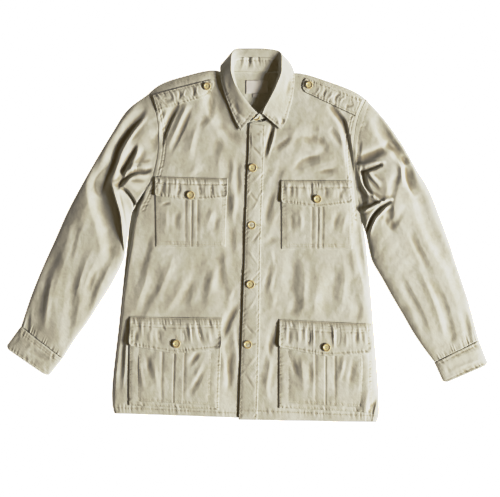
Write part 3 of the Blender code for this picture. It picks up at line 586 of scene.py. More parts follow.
leftFrontCreases = (
    (7, 15, ((186, 292, 0), (194, 275, -4), (207, 258, -6), (214, 246, -6.5), (220, 222, -6.5),
             (226, 190, -6.5),
             (232, 155, -7), (238, 122, -7), (242, 90, -7), (246, 58, -7), (249, 30, -5), (252, 5, 0))),
    (7, 10, ((58, 236, -3), (52, 214, -5), (46, 192, -3.5), (40, 168, 0))),
    (4, 5, ((62, 242, 2.5), (58, 215, 3), (50, 188, 2.5), (44, 165, 0))),
    (6, 8, ((100, 220, 0), (86, 205, -2), (70, 192, -1.5), (60, 180, 0))),
    (9, 12, ((153, 228, 0), (160, 212, -2.5), (166, 195, -2.5), (174, 174, 0))),
    (6, 9, ((183, 236, 0), (192, 224, -2.2), (203, 206, -2.2), (208, 188, 0))),
    (8, 12, ((100, 134, 0), (112, 150, -2.5), (124, 162, -3), (145, 168, -2.5), (162, 170, 0))),
    (6, 10, ((156, 134, 0), (172, 140, -2.2), (186, 142, -2), (200, 146, 0))),
    (8, 9, ((56, 156, 0), (50, 142, -2), (42, 128, -1.5), (36, 112, 0))),
    (8, 10, ((70, -2, 0), (56, -10, -1.8), (44, -18, -1.4), (34, -28, 0))),
    (9, 12, ((118, -132, 0), (112, -150, -1.8), (104, -168, -1.8), (98, -182, 0))),
    (8, 12, ((230, -126, 0), (241, -146, -1.8), (246, -164, -2.2), (242, -180, -1.6), (240, -192, 0))),
    (12, 14, ((160, -70, 0), (156, -110, 1.6), (150, -150, 1.6), (148, -180, 0))),
    (12, 16, ((196, -60, 0), (190, -100, -1.6), (184, -140, -1.6), (182, -175, 0))),
    (13, 20, ((236, 66, 0), (242, 24, -4), (248, -20, -5), (253, -60, -4.5), (257, -100, -2),
             (260, -128, 0))),
    (6, 9, ((62, 110, 0), (54, 80, -1.8), (46, 50, -1.8), (38, 22, 0))),
    (6, 9, ((70, 60, 0), (60, 34, 1.4), (50, 8, 0))),
    (6, 8, ((64, -40, 0), (56, -70, -1.6), (48, -100, -1.8), (40, -130, 0))),
    (6, 8, ((66, -110, 0), (60, -140, 1.2), (52, -170, 0))),
    (6, 8, ((62, -190, 0), (56, -225, -1.6), (48, -262, -1.8), (42, -300, 0))),
    (6, 8, ((60, -270, 0), (52, -310, 1.4), (46, -345, 0))),
    (5, 14, ((112, 352, 0), (150, 342, 3), (196, 326, 3.5), (250, 304, 3))),
    (12, 16, ((120, 250, 0), (106, 226, 2.4), (92, 200, 2.2), (84, 172, 0))),
    (10, 14, ((140, 262, 0), (146, 232, -2.2), (142, 206, -2.2), (150, 180, 0))),
    (10, 16, ((176, 200, 0), (150, 186, 2.4), (124, 190, 2.4), (100, 178, 0))),
    (10, 12, ((84, 160, 0), (70, 140, -2.4), (62, 120, -2), (56, 96, 0))),
    (12, 14, ((200, 176, 0), (180, 160, 2), (156, 156, 2), (130, 146, 0))),
    (12, 16, ((90, -30, 0), (102, -70, -2.2), (98, -110, -2), (106, -160, 0))),
    (10, 14, ((120, -40, 0), (128, -90, 2.2), (126, -140, 2), (130, -176, 0))),
    (10, 14, ((208, -44, 0), (216, -90, 2.4), (212, -130, 2.2), (206, -170, 0))),
    (8, 12, ((238, -20, 0), (244, -60, 2.4), (256, -110, 2.2), (262, -150, 0))),
    (12, 14, ((150, -110, 0), (166, -140, -1.2), (172, -166, -1.2), (168, -184, 0))),
    (7, 9, ((48, -20, 0), (58, -60, 2), (52, -110, 1.8), (60, -150, 0))),
    (6, 9, ((40, -230, 0), (50, -280, 2), (44, -330, 1.8), (50, -370, 0))),
    (5, 12, ((288, -352, 0), (282, -370, -4), (276, -388, -6), (272, -411, -5))),
)
# Where the right sleeve laps over itself at the underarm
rightUnderarmCreases = (
    (8, 7, ((-204, 144, 0), (-213, 143, -6), (-226, 139, -10), (-241, 140, -10), (-261, 130, -10),
             (-276, 114, -6), (-290, 106, 0))),
    (4, 14, ((-204, 154, 0), (-222, 148, 6.5), (-242, 149, 6), (-262, 139, 5), (-280, 124, 0))),
    (12, 4, ((-212, 136, 0), (-228, 133, 3.5), (-244, 134, 3.5), (-264, 122, 3), (-284, 108, 0))),
    (3, 3, ((-272, 118, 0), (-250, 121, -1.6), (-224, 122, 0))),
    (5, 4, ((-284, 108, 0), (-276, 103, -5), (-267, 97, -10), (-255, 83, -12), (-247, 67, -13),
             (-247, 52, -12), (-253, 32, -9), (-258, 10, 0))),
    (5, 6, ((-240, 74, 0), (-240, 68, 4.5), (-241, 60, 0))),
    (12, 10, ((-282, 120, 0), (-250, 108, 3), (-232, 100, 0))),
)


def rowY(sideY, edgeY, bulge, across):
    return mix(sideY, edgeY, across) + bulge * (1 - (2 * across - 1) ** 4)


def frontPlace(front, row, across):
    # x and y on a front at a row and a share of the way from its side to its edge
    side, sideY, _, _, _, edge, edgeY, bulge = columnsAt(front["rows"], row)
    heights, insets = np.array(front["inset"]).T
    rolled = front["inward"] * np.interp(sideY, heights, insets) * (1 - across) ** 6
    return mix(side, edge, across) + rolled, rowY(sideY, edgeY, bulge, across)


def makeFront(front, creases, node):
    form, name = frontForm, front["name"]
    rows = np.arange(0, lastRow + form["rowStep"] / 2, form["rowStep"])
    row, share = grid(rows, np.linspace(0, 1, form["columns"] + 1) ** form["crowd"])
    x, y = frontPlace(front, row, share)
    armhole = smooth((row - underarmRow) / 4) * form["armholeLevel"]
    hem = mix(form["hemLevel"], 1, smooth((y - form["hemY"]) / form["hemReach"]))
    level = mix(1 - np.exp(-np.abs(x - x[:, :1]) / front["sideRound"]), 1, armhole)
    level = level * (1 - np.exp(-np.maximum(y[-1:, :] - y, 0) / form["shoulderRound"]))
    folds = creaseHeight(x, y, creases, form["soften"]) + sway(x, y, form["sway"])
    z = sewnLevel + form["rise"] * level * hem + folds * level
    z = np.maximum(z, mix(sewnLevel, form["lowest"], level))
    z = z + (puckerHeight(x, y, sewn[name]) + rumple(x, y, 0.12)) * level + wall
    _, _, _, inner, beside, _, _, _ = columnsAt(front["rows"], row)
    lapped = np.clip((x - inner) / (beside - inner), 0, 1)  # 1 where it goes under the other front
    z = z - front["under"] * lapped * level
    bm = gridMesh(x, y, z)
    rimEdges = [edge for edge in bm.edges if edge.is_boundary]
    rim = bmesh.ops.extrude_edge_only(bm, edges=rimEdges)["geom"]
    low = [part for part in rim if isinstance(part, bmesh.types.BMVert)]
    bmesh.ops.translate(bm, verts=low, vec=(0, 0, -wall * mm))
    bmesh.ops.recalc_face_normals(bm, faces=bm.faces)
    faceUp(bm)
    addCloth(name, bm, node)


# Sleeves: station, outer x, y, inner x, y, crown
rightSleeve = {
    "stations": (
        (0, -217.5, 311, -253.5, 49, 12),
        (1, -263, 276, -261, 14, 14),
        (2, -299, 221, -266, -17, 15.5),
        (3, -332, 166, -271, -48, 16),
        (4, -365, 108, -297, -104, 15.5),
        (5, -395, 51, -325, -149, 14.5),
        (6, -422, -10, -351, -190, 13.5),
        (7, -450, -72, -376, -224, 12.5),
        (8, -475, -134, -391, -247, 11.5),
        (9, -497, -200, -406, -271, 10),
    ),
    "cuff": ((0, -497.5, -200.5, -406.5, -271.5, 10), (1, -531.5, -247, -438, -311, 8.5)),
}
leftSleeve = {
    "stations": (
        (0, 263.5, 299, 254.5, 29, 12),
        (1, 304, 254, 264, 1, 14),
        (2, 342, 201, 269, -26, 15.5),
        (3, 372, 148, 276, -54, 16),
        (4, 401, 100, 298, -93, 15.5),
        (5, 425, 40, 322, -136, 14.5),
        (6, 446, -17, 345, -175, 13.5),
        (7, 465, -76, 368, -215, 12.5),
        (8, 487, -142, 389, -246, 11.5),
        (9, 511, -231, 414, -279, 10),
    ),
    "cuff": ((0, 511.5, -232, 414, -280, 10), (1, 532, -284, 435, -326, 8.5)),
}
lastStation = 9
sleeveForm = {
    "edgeLevel": 3.0,
    "lowest": 4.6,
    "soften": 1.35,
    "sway": 1.6,
    "armholeReach": 2.4,
    "seamReach": 1.1,
    "ringStep": 0.032,  # stations between two rings, about 2.1 mm
    "topPoints": 108,
    "underPoints": 22,
    "underFolds": 0.3,  # how much of its folds shows on the side it lies on
    "deepest": 1.8,
    "gathers": 12,
    "gatherDepth": 1.0,
    "gatherReach": 0.42,
}
rightSleeveCreases = (
    (13, 28, ((-225, 291, -2), (-228, 269, -5), (-240, 252, -7.5), (-256, 234, -9), (-272, 212, -9.5),
             (-285, 188, -10),
             (-296, 155, -10), (-308, 128, -7), (-318, 104, -3), (-326, 84, 0))),
    (10, 9, ((-214, 282, 0), (-226, 258, 3), (-243, 236, 4), (-262, 205, 4), (-274, 182, 3),
             (-286, 150, 1), (-292, 120, 0))),
    (7, 16, ((-244, 204, 0), (-249, 184, -6), (-258, 168, -8.5), (-268, 148, -9), (-276, 122, -8),
             (-282, 108, -4), (-286, 96, 0))),
    (9, 6, ((-235, 200, 0), (-241, 178, 3), (-250, 155, 3.5), (-260, 135, 2), (-268, 120, 0))),
    (38, 26, ((-316, 176, 0), (-326, 146, -6), (-330, 112, -10), (-324, 78, -11), (-314, 44, -10.5),
             (-305, 10, -9),
              (-298, -24, -7), (-292, -56, -3.5), (-290, -84, 0))),
    (26, 4, ((-298, 118, 0), (-293, 101, 8), (-286, 78, 10), (-277, 46, 10.5), (-273, 10, 9.5),
             (-270, -24, 7.5), (-268, -50, 4), (-268, -72, 0))),
    (3, 3, ((-281, 100, 0), (-276, 80, -1.2), (-270, 52, -1.4), (-266, 24, -1.4), (-264, -10, -1),
             (-266, -40, 0))),
    (15, 22, ((-298, -14, 0), (-305, -45, -2.2), (-323, -84, -3.7), (-340, -123, -3.7),
             (-351, -162, -2.5), (-356, -190, 0))),
    (12, 15, ((-374, -76, 0), (-381, -115, -2.2), (-381, -140, -2.6), (-389, -186, -2.6),
             (-396, -235, -1.5))),
    (14, 20, ((-416, -10, 0), (-424, -48, -2.6), (-442, -84, -3.5), (-457, -149, -3.5),
             (-465, -200, -2.5))),
    (6, 8, ((-480, -160, 0), (-482, -185, -2.5), (-484, -214, -2))),
    (12, 12, ((-218, 256, 0), (-224, 245, -1.6), (-241, 221, -1.8), (-262, 203, 0))),
    (8, 10, ((-222, 192, 0), (-228, 178, -1.6), (-240, 158, -1.5), (-248, 146, 0))),
    (24, 22, ((-330, 120, 0), (-350, 70, 2), (-378, 0, 2.5), (-402, -63, 2.5), (-432, -150, 1.5),
             (-450, -190, 0))),
    (10, 10, ((-340, -30, 0), (-356, -70, 2), (-372, -120, 2), (-384, -170, 0))),
    (8, 12, ((-360, 40, 0), (-374, 10, -2), (-384, -30, -2), (-392, -60, 0))),
    (8, 9, ((-426, -90, 0), (-434, -130, 2), (-440, -180, 1.5), (-446, -215, 0))),
    (6, 8, ((-330, -70, 0), (-344, -104, -1.6), (-352, -128, 0))),
)
leftSleeveCreases = (
    (16, 24, ((272, 290, -1.5), (279, 274, -4), (299, 236, -6.5), (312, 214, -8), (323, 200, -9),
             (337, 184, -10), (350, 168, -8), (356, 156, 0))),
    (20, 22, ((290, 280, 1), (318, 236, 3), (345, 190, 3.7), (368, 150, 3), (382, 112, 1.5), (392, 85, 0))),
    (22, 8, ((342, 178, 0), (350, 156, -7.5), (352, 138, -9.5), (354, 120, -8), (362, 100, -4),
             (372, 84, 0))),
    (9, 10, ((328, 168, 0), (338, 150, 3.6), (340, 128, 3.6), (344, 104, 0))),
    (22, 20, ((366, 98, 0), (381, 78, -3.7), (391, 40, -3.7), (408, 0, -3.4), (427, -35, -3.4),
             (452, -76, -3.2), (472, -129, -2.5), (482, -165, 0))),
    (14, 17, ((240, 166, -2), (250, 169, -6), (266, 174, -7.5), (284, 181, -6.5), (302, 190, -4),
             (318, 198, -1.5), (334, 206, 0))),
    (4, 6, ((238, 154, 4), (250, 157, 7), (264, 157, 7), (282, 159, 6.5), (298, 160, 3.5), (306, 161, 0))),
    (4, 8, ((300, 155, 0), (292, 153, -8), (278, 147, -10), (264, 142, -10), (255, 138, -6),
             (252, 132, 0))),
    (7, 6, ((254, 146, -4), (256, 134, -10), (259, 118, -10), (264, 104, -9), (271, 92, -6), (277, 85, 0))),
    (5, 9, ((240, 152, 4), (245, 138, 6), (249, 122, 7), (258, 103, 7), (268, 93, 7), (280, 83, 6),
             (294, 74, 4))),
    (12, 4, ((263, 144, 0), (266, 137, 6), (275, 126, 6), (287, 113, 4), (294, 104, 0))),
    (7, 5, ((322, 80, 0), (316, 78, 5), (304, 76, 7), (292, 71, 8), (276, 63, 8), (262, 56, 8),
             (250, 50, 7))),
    (6, 8, ((318, 75, 0), (308, 68, -6), (294, 58, -10), (280, 42, -11), (270, 20, -11), (265, 0, -9),
             (266, -22, -5), (270, -44, 0))),
    (10, 4, ((318, 72, 0), (310, 66, 4), (297, 52, 5), (284, 38, 5), (275, 24, 5), (268, 6, 3),
             (266, -10, 0))),
    (5, 4, ((247, 50, 5), (252, 36, 6), (257, 20, 6), (262, -2, 5), (268, -26, 4), (272, -48, 0))),
    (17, 10, ((246, 124, 0), (247, 105, -6), (250, 84, -7), (256, 66, -4), (262, 60, 0))),
    (9, 10, ((330, 135, 0), (325, 118, -3), (318, 88, -3), (312, 56, -3.5), (316, 24, -2), (322, 0, 0))),
    (7, 8, ((302, 46, 0), (306, 31, -1.8), (304, 12, 0))),
    (8, 8, ((344, 56, 0), (334, 40, -1.6), (322, 22, -1.6), (314, 10, 0))),
    (9, 6, ((244, 214, 0), (246, 200, -5), (244, 180, -5.5), (243, 164, -3))),
    (8, 8, ((262, 262, 0), (258, 240, -2), (258, 220, 0))),
    (20, 18, ((300, 140, 0), (306, 120, 2.5), (310, 95, 2.5), (330, 40, 2), (350, -10, 0))),
    (9, 13, ((330, -80, 0), (352, -120, -2.4), (374, -160, -2.4), (392, -205, -2), (402, -240, 0))),
    (10, 10, ((372, -60, 0), (392, -100, 2.4), (412, -150, 2.4), (428, -200, 1.5), (436, -240, 0))),
    (9, 12, ((404, -90, 0), (424, -130, -2), (440, -175, -2.4), (452, -225, -1.5))),
    (8, 10, ((470, -150, 0), (482, -190, -2.5), (490, -235, -2))),
    (8, 9, ((356, 20, 0), (372, -20, -2), (392, -60, -1.5), (404, -90, 0))),
)


def crownShape(share):
    return np.sqrt(np.clip(1 - (2 * share - 1) ** 4, 0, 1))


def sideShares(count):
    # closer together towards both ends, where a laid tube turns under
    even = np.linspace(0, 1, count + 1)
    return mix(even, 0.5 - 0.5 * np.cos(math.pi * even), 0.6)


def underLevel(share):
    # the side that a tube lies on
    return sleeveForm["edgeLevel"] * (1 - crownShape(share)) ** 0.8 + 0.15


def addTube(name, top, under, node, thickness):
    # a closed tube, from the points of its upper side and of the side it lies on
    under[2][:, -1] = top[2][:, 0]
    bm = gridMesh(*(np.hstack(pair) for pair in zip(top, under)), wrap=True)
    addCloth(name, bm, node, thickness)


def sleevePlace(sleeve, stations, shares, front):
    outerX, outerY, innerX, innerY, crown = columnsAt(sleeve["stations"], stations)
    x, y = mix(outerX, innerX, shares), mix(outerY, innerY, shares)
    keep = 1 - smooth(stations / sleeveForm["armholeReach"])
    side, sideY = columnsAt(front["rows"], mix(lastRow, underarmRow, shares))[:2]
    _, firstX, firstY, lastX, lastY, _ = sleeve["stations"][0]
    x = x + (side - mix(firstX, lastX, shares)) * keep
    y = y + (sideY - mix(firstY, lastY, shares)) * keep
    return x, y, crown


def makeSleeve(name, sleeve, front, creases, node):
    form = sleeveForm
    stations = np.linspace(0, lastStation, int(lastStation / form["ringStep"]) + 1)
    station, share = grid(stations, sideShares(form["topPoints"]))
    x, y, crown = sleevePlace(sleeve, station, share, front)
    shape = crownShape(share)
    folds = creaseHeight(x, y, creases, form["soften"]) + sway(x, y, form["sway"])
    z = mix(form["edgeLevel"], crown, shape) + folds * np.minimum(shape * 1.15, 1)
    z = np.maximum(z, mix(form["edgeLevel"], form["lowest"], shape))
    edge = heightsOn([front["name"]], x[:1] + 3 * front["inward"], y[:1], default=9.0)
    seam = np.maximum(edge - 0.7, form["edgeLevel"])
    z = mix(z, seam, (1 - smooth(station / form["seamReach"])) ** 1.5)
    wave = np.cos(2 * math.pi * (share * form["gathers"] + 0.5 * np.sin(share * 23)))
    wave = wave * (0.55 + 0.45 * np.sin(share * 37))
    gathered = smooth(1 - (lastStation - station) / form["gatherReach"])
    z = z + form["gatherDepth"] * wave * shape * gathered
    z = z + (puckerHeight(x, y, sewn[name]) + rumple(x, y, 0.15)) * shape
    station, share = grid(stations, sideShares(form["underPoints"])[::-1][1:])
    lowX, lowY, _ = sleevePlace(sleeve, station, share, front)
    pressed = -form["underFolds"] * creaseHeight(lowX, lowY, creases, form["soften"])
    lowZ = underLevel(share) + np.clip(pressed, 0, form["deepest"]) * crownShape(share)
    addTube(name, (x, y, z), (lowX, lowY, lowZ), node, 0.9)


cuffForm = {
    "rings": 34,
    "topPoints": 64,
    "underPoints": 20,
    "folds": 0.5,
    "soften": 1.5,
    "corner": 5,  # how much its two lower corners are rounded off
    "cornerStart": 0.86,
    "cornerWidth": 0.1,
    "seam": 1.4,  # how deep it is drawn in where it joins the sleeve
}


def makeCuff(name, cuff, creases, node):
    form = cuffForm
    down = np.array(cuff[1][1:3]) - np.array(cuff[0][1:3])
    down = down / np.hypot(*down)

    def ring(station, share):
        outerX, outerY, innerX, innerY, crown = columnsAt(cuff, station)
        width, start = form["cornerWidth"], form["cornerStart"]
        ends = np.clip(1 - share / width, 0, 1) ** 2 + np.clip((share - 1 + width) / width, 0, 1) ** 2
        rounded = form["corner"] * np.clip(station - start, 0, 1) / (1 - start) * ends
        x = mix(outerX, innerX, share) - down[0] * rounded
        return x, mix(outerY, innerY, share) - down[1] * rounded, crown

    stations = np.linspace(0, 1, form["rings"])
    station, share = grid(stations, sideShares(form["topPoints"]))
    x, y, crown = ring(station, share)
    shape = crownShape(share)
    folds = form["folds"] * creaseHeight(x, y, creases, form["soften"]) + puckerHeight(x, y, sewn[name])
    z = mix(sleeveForm["edgeLevel"], crown, shape) + folds * shape
    z = z + rumple(x, y, 0.12) * shape - form["seam"] * np.exp(-station / 0.035) * shape
    station, share = grid(stations, sideShares(form["underPoints"])[::-1][1:])
    lowX, lowY, _ = ring(station, share)
    addTube(name, (x, y, z), (lowX, lowY, underLevel(share)), node, 1.1)


pocketForm = {
    # rows from foot to top, share of the width left to the bellows on each side, how full it is, how far
    # it lies above the front, and how far in from its sides it is sewn
    "chest": {"rows": (15, 22.6), "side": 0.0, "puff": 1.6, "level": 0.0, "seam": 0.022},
    "lower": {"rows": (1.46, 8.6), "side": 0.1, "puff": 2.0, "level": 1.1, "seam": 0.02},
    "gussetFoot": 1,
    "gussetTuck": 0.03,
    "gussetFold": 1.5,  # the bellows' outer fold stands up a little
    "folds": 1.5,
    "tucked": 0.7,  # how far its side edges sink
    "step": 2.0,
}
flapForm = {
    "chest": {"row": 23, "corner": 2.62, "point": 3.2, "lift": 2.4, "over": 3.3, "sides": 0.9, "band": 12},
    "lower": {"row": 9, "corner": 2.5, "point": 3.05, "lift": 3.2, "over": 4.5, "sides": 1.4, "band": 11},
    "step": 1.7,
}


def pocketPlace(front, row, share):
    # x and y at a row and a share of the way across a pocket, from the side seam's side
    side, sideY, outer, inner, _, edge, edgeY, bulge = columnsAt(front["rows"], row)
    x = mix(outer, inner, share)
    return x, rowY(sideY, edgeY, bulge, (x - side) / (edge - side))


def evenGrid(place, low, high, first, last, step, corner):
    # rows and shares for cells of about one step, measured from the first corner to the others
    x, y = place(np.array([low, low, high], float), np.array([first, last, corner], float))
    columns = int(abs(x[1] - x[0]) / step) + 1
    rows = int(abs(y[2] - y[0]) / step) + 1
    return grid(np.linspace(low, high, rows), np.linspace(first, last, columns))


def makePocket(name, front, kind, creases, node):
    form, own = pocketForm, pocketForm[kind]
    (low, high), first, last = own["rows"], own["side"], 1 - own["side"]
    row, share = evenGrid(partial(pocketPlace, front), low, high, first, last, form["step"], first)
    x, y = pocketPlace(front, row, share)
    z = heightsOn([front["name"]], x, y) + (gap + own["level"]) + wall
    up = (row - low) / (high - low)
    across = (share - first) / (last - first)
    fill = np.sin(math.pi * mix(0.03, 0.75, up)) ** 0.7 * arch(across)
    z = z + own["puff"] * fill
    z = z - form["tucked"] * np.abs(2 * across - 1) ** 12
    folds = form["folds"] * creaseHeight(x, y, creases, 1.3) + puckerHeight(x, y, sewn[name])
    z = z + folds * (0.35 + 0.65 * fill)
    z = z + (sway(x + 60, y * 1.3, 0.8) + rumple(x, y, 0.25)) * fill
    addCloth(name, gridMesh(x, y, z), node, 1.1)


def makeGusset(name, front, creases, node):
    # the bellows of a lower pocket: one strip down its side, along its foot and up the other side
    form, own = pocketForm, pocketForm["lower"]
    (foot, high), tuck = own["rows"], form["gussetTuck"]
    sides, across = 100, 98
    downRows = np.linspace(high, form["gussetFoot"], sides)
    outerRows = np.concatenate([downRows, np.full(across - 2, form["gussetFoot"]), downRows[::-1]])
    outerShares = np.concatenate([np.zeros(sides), np.linspace(0, 1, across)[1:-1], np.ones(sides)])
    innerRows = np.maximum(outerRows, foot + 0.12)
    innerShares = np.clip(outerShares, own["side"] + tuck, 1 - own["side"] - tuck)
    lanes = np.linspace(0, 1, 12)[:, None]
    x, y = pocketPlace(front, mix(outerRows, innerRows, lanes), mix(outerShares, innerShares, lanes))
    fold = form["gussetFold"] * np.sin(math.pi * np.clip(lanes * 0.8, 0, 1)) ** 0.7
    z = heightsOn([front["name"]], x, y) + gap + wall + fold * (1 - 0.75 * lanes**2)
    z = z + creaseHeight(x, y, creases) + puckerHeight(x, y, sewn[name]) + rumple(x, y, 0.1)
    bm = gridMesh(x, y, z)
    bmesh.ops.remove_doubles(bm, verts=bm.verts, dist=0.02 * mm)
    addCloth(name, bm, node, 0.8)


def flapPlace(front, kind, down, share):
    # down runs from 0 at the sewn edge to 1 at the free edge
    form = flapForm[kind]
    toSide = np.abs(2 * share - 1)
    depth = mix(form["point"], form["corner"], toSide ** 1.1)
    corner = 0.11 * np.clip((toSide - 0.965) / 0.035, 0, 1) ** 2
    return pocketPlace(front, form["row"] - down * depth * (1 - corner), share)


def makeFlap(name, front, kind, creases, node):
    form = flapForm[kind]
    down, share = evenGrid(partial(flapPlace, front, kind), 0, 1, 0, 1, flapForm["step"], 0.5)
    x, y = flapPlace(front, kind, down, share)
    toSide = np.abs(2 * share - 1)
    rise = smooth(down / 0.22)
    lift = gap + (form["over"] - gap - form["sides"] * toSide**6) * rise
    lift = lift + form["lift"] * toSide**10 * smooth(down) ** 3
    z = heightsOn([front["name"]], x, y) + lift + wall
    ridges = placed(partial(flapPlace, front, kind), (0.3, 0.02), (0.3, 0.5), (0.3, 0.98))
    seams = (*sewn[name], (15.5, 0.9, 30, 30, 0.1, 0, ridges))
    z = z + (creaseHeight(x, y, creases) + puckerHeight(x, y, seams)) * (0.3 + 0.7 * rise)
    addCloth(name, gridMesh(x, y, z + rumple(x, y, 0.12)), node, 1.2)


placketForm = {"topRow": 27, "columns": 22, "rowStep": 0.09, "puff": 0.9, "folds": 0.6}


def makePlacket(name, creases, node):
    form = placketForm
    rows = np.arange(0, form["topRow"] + 0.01, form["rowStep"])
    row, share = grid(rows, np.linspace(0, 1, form["columns"]))
    side, sideY, _, _, beside, edge, edgeY, bulge = columnsAt(leftFront["rows"], row)
    x = mix(beside, edge, share)
    y = rowY(sideY, edgeY, bulge, (x - side) / (edge - side))
    z = heightsOn(["frontLeft"], x, y, default=10.0) + gap + wall + form["puff"] * arch(share)
    z = z + form["folds"] * creaseHeight(x, y, creases) + puckerHeight(x, y, sewn[name])
    addCloth(name, gridMesh(x, y, z + rumple(x, y, 0.15)), node, 1.2)


# Shoulder straps: upper and lower corner at the armhole, upper and lower corner near the tip, and the tip
straps = {
    "Right": ((-208, 309), (-197, 273), (-86, 341), (-98, 302), (-74, 327)),
    "Left": ((256, 298), (240, 262), (138, 343), (130, 314), (124, 335)),
    "gap": 0.9,
    "puff": 1.2,
    "columns": 80,
    "lanes": 28,
    "tipStart": 0.87,
}


def strapPlace(corners, along, lane):
    upper, lower, upperTip, lowerTip, tip = (np.array(corner, float) for corner in corners)
    start = straps["tipStart"]
    end = (np.clip((along - start) / (1 - start), 0, 1) * math.pi / 2)[..., None]
    side = (along / start).clip(0, 1)[..., None]
    a, b = mix(upper, upperTip, side), mix(lower, lowerTip, side)
    middle = (a + b) / 2
    half = (a - b) / 2 * (1 - 2 * lane[..., None])
    points = middle + (tip - middle) * np.sin(end) + half * np.maximum(np.cos(end), 0.03) ** 0.7
    return np.moveaxis(points, -1, 0)


def makeStrap(name, corners, under, creases, node):
    along, lane = grid(np.linspace(0, 1, straps["columns"]), np.linspace(0, 1, straps["lanes"]))
    x, y = strapPlace(corners, along, lane)
    z = heightsOn(under, x, y) + straps["gap"] + wall
    z = z + straps["puff"] * arch(lane) * smooth((1 - along) / 0.1 + 0.2)
    z = z + creaseHeight(x, y, creases) + puckerHeight(x, y, sewn[name]) + rumple(x, y, 0.15)
    addCloth(name, gridMesh(x, y, z), node, 1.3)


# Troughs on the back's underside, all pressed upwards
backCreases = (
    (14, 18, ((-150, 200, 0), (-165, 120, 1.6), (-190, 40, 1.8), (-205, -20, 0))),
    (16, 14, ((130, 210, 0), (150, 130, 1.7), (178, 50, 1.5), (200, -10, 0))),
    (20, 20, ((-40, 180, 0), (-48, 80, 1.4), (-30, -40, 1.2), (-44, -150, 0))),
    (18, 24, ((60, 120, 0), (72, 0, 1.5), (58, -120, 1.6), (70, -230, 0))),
    (16, 20, ((-180, -60, 0), (-150, -130, 1.5), (-160, -220, 1.6), (-140, -320, 0))),
    (22, 16, ((190, -80, 0), (172, -180, 1.4), (186, -280, 1.3), (170, -350, 0))),
)


def makeBack(name, node):
    # the back, cut flat on the surface, a little wider than the fronts where it shows beside them
    row, share = grid(np.linspace(0, lastRow, 150), sideShares(120))
    rightX, rightY = columnsAt(rightFront["rows"], row)[:2]
    leftX, leftY = columnsAt(leftFront["rows"], row)[:2]
    wider = 2.5 * smooth((60 - rightY) / 60) * smooth((rightY + 400) / 60)
    x = mix(rightX - wider, leftX, share)
    y = mix(rightY, leftY, share)
    y = y + smooth((row - 24) / 8) * 62 * (1 - np.abs(2 * share - 1) ** 1.6)
    y = np.minimum(y, 361)  # the neck's edge, under the collar
    z = 1.25 + 0.35 * np.sin(x / 37 + np.sin(y / 61)) * np.sin(y / 53) * smooth((x - rightX) / 30)
    inside = smooth((x - rightX) / 45) * smooth((leftX - x) / 45) * smooth((y + 400) / 60)
    z = z + np.abs(creaseHeight(x, y, backCreases)) * inside
    addCloth(name, gridMesh(x, y, np.maximum(z, 0.9)), node, 0.8)


# Collar sections: x, y, z of the neck seam, of the stand's upper edge, of the roll line and of the leaf's
# edge, from its right end to its left end
collar = {
    "sections": (
        (34, 250, 9.4, 26, 262, 16, 23, 268, 19, -13, 230, 15.6),
        (7, 262, 11, 3, 283, 19, 4, 288, 22, -24, 249, 15),
        (-13, 286, 11.5, -14, 309, 20, -14, 312, 25, -38, 282, 15),
        (-31, 318, 11.5, -24, 337, 20, -28, 336, 27, -49, 313, 15),
        (-42, 344, 9, -28, 361, 18, -35, 364, 26, -57, 346, 14),
        (-44, 356, 5.5, -26, 381, 14, -34, 393, 19, -58, 369, 10),
        (-34, 361, 3.4, -15, 391, 10, -24, 409, 10, -39, 386, 2.6),
        (-6, 360, 3.2, 3, 392, 8.5, 1, 411, 7, 1, 381, 1.6),
        (20, 359, 3.2, 20, 392, 8.5, 23, 411, 7, 23, 381, 1.6),
        (51, 360, 3.2, 47, 391, 8.5, 48, 409.5, 7.5, 47, 381, 1.6),
        (81, 361, 3.4, 64, 388, 11, 71, 404, 11, 86, 386, 2.6),
        (90, 357, 5.5, 70, 377, 15, 76, 390, 20, 100, 369, 10),
        (89, 343, 9, 70, 357, 19, 76, 362, 27, 105, 346, 14),
        (77, 318, 11.5, 62, 331, 21, 67, 333, 28, 102, 309, 15),
        (59, 285, 11.5, 51, 304, 20, 52, 302, 26, 94, 276, 15.6),
        (36, 256, 13, 37, 280, 19.4, 40, 280, 24, 86, 249, 16),
        (9, 250, 15, 23, 262, 19.4, 34, 265, 24, 74, 232, 16.6),
    ),
    "leafStart": (31.5, 271, 22.2),
    "roll": 2.3,
    "bow": 0.8,
    "bow": 0.8,
    "step": 0.05,
    "standPoints": 18,
    "leafPoints": 40,
    "fixed": 17,  # points across the leaf that stay put over the roll line
    "standCreases": (
        (6, 7, ((-8, 405, 0), (-6, 388, 2.2), (-10, 366, 0))),
        (5, 6, ((4, 404, 0), (5, 385, -2), (2, 364, 0))),
        (6, 6, ((14, 405, 0), (13, 388, 1.8), (16, 368, 0))),
        (5, 6, ((27, 405, 0), (26, 390, -1.6), (28, 372, 0))),
    ),
    "leafCreases": (
        (10, 12, ((-50, 350, 0), (-46, 325, 1.6), (-36, 300, 0))),
        (8, 9, ((-30, 300, 0), (-22, 278, -2), (-14, 262, 0))),
        (6, 7, ((-20, 268, 0), (-12, 256, 1.8), (-2, 250, 0))),
        (9, 10, ((96, 350, 0), (92, 325, -1.4), (88, 300, 0))),
        (5, 6, ((64, 262, 0), (70, 250, 2.2), (72, 238, 1.5))),
        (5, 6, ((76, 262, 0), (80, 250, -2), (80, 240, 0))),
    ),
}


